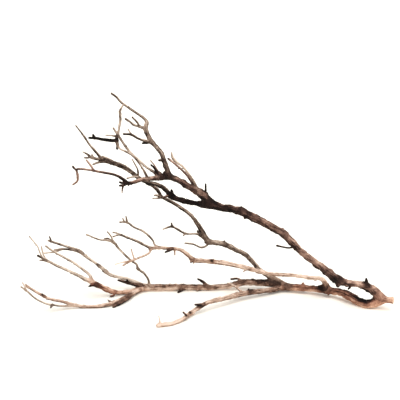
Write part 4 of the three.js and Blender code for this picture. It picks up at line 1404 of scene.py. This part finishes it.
STEM = ("butt", "upper_limb", "lower_limb")
LOW_LIMBS = ("arch_limb", "riser_limb", "long_limb", "front_limb")
CROWN = (
    "dark_limb", "inner_limb", "inner_high_twig", "inner_low_twig", "crown_limb", "tall_branch",
    "tall_low_twig", "tall_high_twig", "sweep_limb", "pale_cross_twig", "dark_cross_twig",
    "black_twig", "upright_twig", "twin_dark_twig", "twin_pale_twig",
)
MIDDLE_TWIGS = (
    "riser_top", "riser_fork", "riser_side_twig", "riser_low_twig", "arch_mid_twig",
    "arch_low_twig", "arch_high_twig",
)
LOW_TWIGS = (
    "crest_limb", "crest_side_twig", "fan_limb", "fan_high_twig", "fan_low_twig", "ground_limb",
    "ground_side_twig", "stray_twig",
)
TUBES = {name: limb_tubes(limb, i + 1.0) for i, (name, limb) in enumerate(LIMBS.items())}


def finish_named(slot):
    """The finish of a slot, made once."""
    name = slot + "_finish"
    ready = bpy.data.materials.get(name)
    return ready or wood_material(name, ROUGHNESS[slot], bpy.context.scene.branch_finish)


def skin_tree():
    """The limb skin's node tree, made once."""
    return bpy.data.node_groups.get("limb_skin") or limb_skin_tree()


def scatter_tree_made():
    """The scatter's node tree, made once."""
    return bpy.data.node_groups.get("scatter") or scatter_tree()


def grow(names):
    """Builds the named limbs."""
    every = [tube for tubes in TUBES.values() for tube in tubes]
    pieces = []
    for name in names:
        limb = LIMBS[name]
        material = finish_named(limb["slot"])
        pieces.append(limb_piece(
            name, TUBES[name], every, skin_tree(), material, bpy.context.scene.branch_sizes,
        ))
    return pieces


FLAKE = {
    "Density": 6500.0, "Least Girth": 4.0 * MM, "Least Tone": 0.42, "Smallest": 4.0 * MM,
    "Largest": 10.0 * MM, "Width": 0.3, "Thickness": 0.085, "Taper": 2.2, "Curl": 0.5, "Sink": 0.01,
}
PEG = {
    "Density": 900.0, "Most Girth": 4.2 * MM, "Smallest": 4.0 * MM, "Largest": 8.5 * MM,
    "Width": 0.24, "Thickness": 0.22, "Taper": 0.2, "Curl": -0.25, "Sink": 0.0, "Rise": 0.8,
}


# ---------------------------------------------------------------- operators

class BRANCH_OT_stem(bpy.types.Operator):
    """Builds the sawn stem end and the two stout limbs that it forks into"""

    bl_idname = "branch.stem"
    bl_label = "Stem"

    def execute(self, context):
        pieces = grow(STEM)
        scattered_piece("stem_bark_flakes", pieces, "dark_bark", dict(FLAKE, Seed=3))
        return {"FINISHED"}


class BRANCH_OT_low_limbs(bpy.types.Operator):
    """Builds the four limbs that leave the lower limb"""

    bl_idname = "branch.low_limbs"
    bl_label = "Low Limbs"

    def execute(self, context):
        pieces = grow(LOW_LIMBS)
        scattered_piece("low_bark_flakes", pieces, "dark_bark", dict(FLAKE, Seed=5))
        return {"FINISHED"}


class BRANCH_OT_crown(bpy.types.Operator):
    """Builds the crown: the branches and twigs that end the upper limb"""

    bl_idname = "branch.crown"
    bl_label = "Crown"

    def execute(self, context):
        pieces = grow(CROWN)
        scattered_piece("crown_bark_flakes", pieces, "dark_bark", dict(FLAKE, Seed=7))
        scattered_piece("crown_twig_pegs", pieces, "brown_bark", dict(PEG, Seed=11))
        return {"FINISHED"}


class BRANCH_OT_middle_twigs(bpy.types.Operator):
    """Builds the twigs that end the riser and the arch limb"""

    bl_idname = "branch.middle_twigs"
    bl_label = "Middle Twigs"

    def execute(self, context):
        pieces = grow(MIDDLE_TWIGS)
        scattered_piece("middle_twig_pegs", pieces, "brown_bark", dict(PEG, Seed=13))
        return {"FINISHED"}


class BRANCH_OT_low_twigs(bpy.types.Operator):
    """Builds the branches and twigs that end the long limb"""

    bl_idname = "branch.low_twigs"
    bl_label = "Low Twigs"

    def execute(self, context):
        pieces = grow(LOW_TWIGS)
        scattered_piece("low_twig_pegs", pieces, "brown_bark", dict(PEG, Seed=17))
        return {"FINISHED"}


CAMERA_RISE = math.radians(18)
CAMERA_AWAY = 2.6
CAMERA_AIM = Vector((-0.02495, 0.0061, 0.295))
CAMERA_LENS = 93.6
CAMERA_SENSOR = 36.0
CAMERA_CLIP = 100.0
FLOOR_HALF = 14.0
KEY_FROM = Vector((0.15, -0.4, 1.0))
KEY_SPREAD = math.radians(70)
WHITE = (1.0, 1.0, 1.0, 1.0)


def add_floor(colour):
    """The wide plain floor."""
    mesh = bpy.data.meshes.new("floor")
    h = FLOOR_HALF
    mesh.from_pydata([(-h, -h, 0), (h, -h, 0), (h, h, 0), (-h, h, 0)], [], [(0, 1, 2, 3)])
    floor = placed("floor", mesh)
    plain = bpy.data.materials.new("floor_white")
    plain.use_nodes = True
    shader = plain.node_tree.nodes["Principled BSDF"]
    shader.inputs["Base Color"].default_value = (*colour, 1.0)
    shader.inputs["Roughness"].default_value = 1.0
    shader.inputs["Specular IOR Level"].default_value = 0.0
    mesh.materials.append(plain)


def add_surround(strength):
    """The even white surround."""
    world = bpy.data.worlds.new("surround")
    bpy.context.scene.world = world
    world.use_nodes = True
    background = world.node_tree.nodes["Background"]
    background.inputs["Strength"].default_value = strength
    background.inputs["Color"].default_value = WHITE


def add_key_light(power):
    """The wide soft light above."""
    lamp = bpy.data.lights.new("key", "SUN")
    lamp.angle = KEY_SPREAD
    lamp.energy = power
    placed("key", lamp).rotation_euler = (-KEY_FROM).to_track_quat("-Z", "Y").to_euler()


def add_camera():
    """The camera, a little above the branch and in front of it."""
    camera = bpy.data.cameras.new("camera")
    camera.sensor_width = CAMERA_SENSOR
    camera.lens = CAMERA_LENS
    camera.clip_end = CAMERA_CLIP
    viewer = placed("camera", camera)
    back = Vector((0.0, -math.cos(CAMERA_RISE), math.sin(CAMERA_RISE)))
    viewer.location = CAMERA_AIM + back * CAMERA_AWAY
    viewer.rotation_euler = (math.pi / 2 - CAMERA_RISE, 0.0, 0.0)
    bpy.context.scene.camera = viewer


class BRANCH_OT_stage(bpy.types.Operator):
    """Builds the pale floor, the soft light and the camera"""

    bl_idname = "branch.stage"
    bl_label = "Stage"

    def execute(self, context):
        light = context.scene.branch_light
        add_floor(light.floor_colour)
        add_surround(light.sky)
        add_key_light(light.key_power)
        add_camera()
        context.scene.view_settings.view_transform = "Standard"
        return {"FINISHED"}


class BRANCH_PT_panel(bpy.types.Panel):
    """Lists the branch's settings and the steps that build it"""

    bl_idname = "BRANCH_PT_panel"
    bl_label = "Fallen Branch"
    bl_space_type = "VIEW_3D"
    bl_region_type = "UI"
    bl_category = "Branch"

    def draw(self, context):
        scene = context.scene
        for group in (scene.branch_sizes, scene.branch_finish, scene.branch_light):
            box = self.layout.box()
            for key in group.__annotations__:
                box.prop(group, key)
        for operator in OPERATORS:
            self.layout.operator(operator.bl_idname)


OPERATORS = (
    BRANCH_OT_stage, BRANCH_OT_stem, BRANCH_OT_low_limbs, BRANCH_OT_crown, BRANCH_OT_middle_twigs,
    BRANCH_OT_low_twigs,
)
CLASSES = (BranchSizes, BranchFinish, BranchLight, *OPERATORS, BRANCH_PT_panel)


def register():
    for item in CLASSES:
        bpy.utils.register_class(item)
    bpy.types.Scene.branch_sizes = PointerProperty(type=BranchSizes)
    bpy.types.Scene.branch_finish = PointerProperty(type=BranchFinish)
    bpy.types.Scene.branch_light = PointerProperty(type=BranchLight)


def unregister():
    del bpy.types.Scene.branch_light
    del bpy.types.Scene.branch_finish
    del bpy.types.Scene.branch_sizes
    for item in reversed(CLASSES):
        bpy.utils.unregister_class(item)


def main():
    register()
    bpy.ops.branch.stage()
    bpy.ops.branch.stem()
    bpy.ops.branch.low_limbs()
    bpy.ops.branch.crown()
    bpy.ops.branch.middle_twigs()
    bpy.ops.branch.low_twigs()


if __name__ == "__main__":
    main()
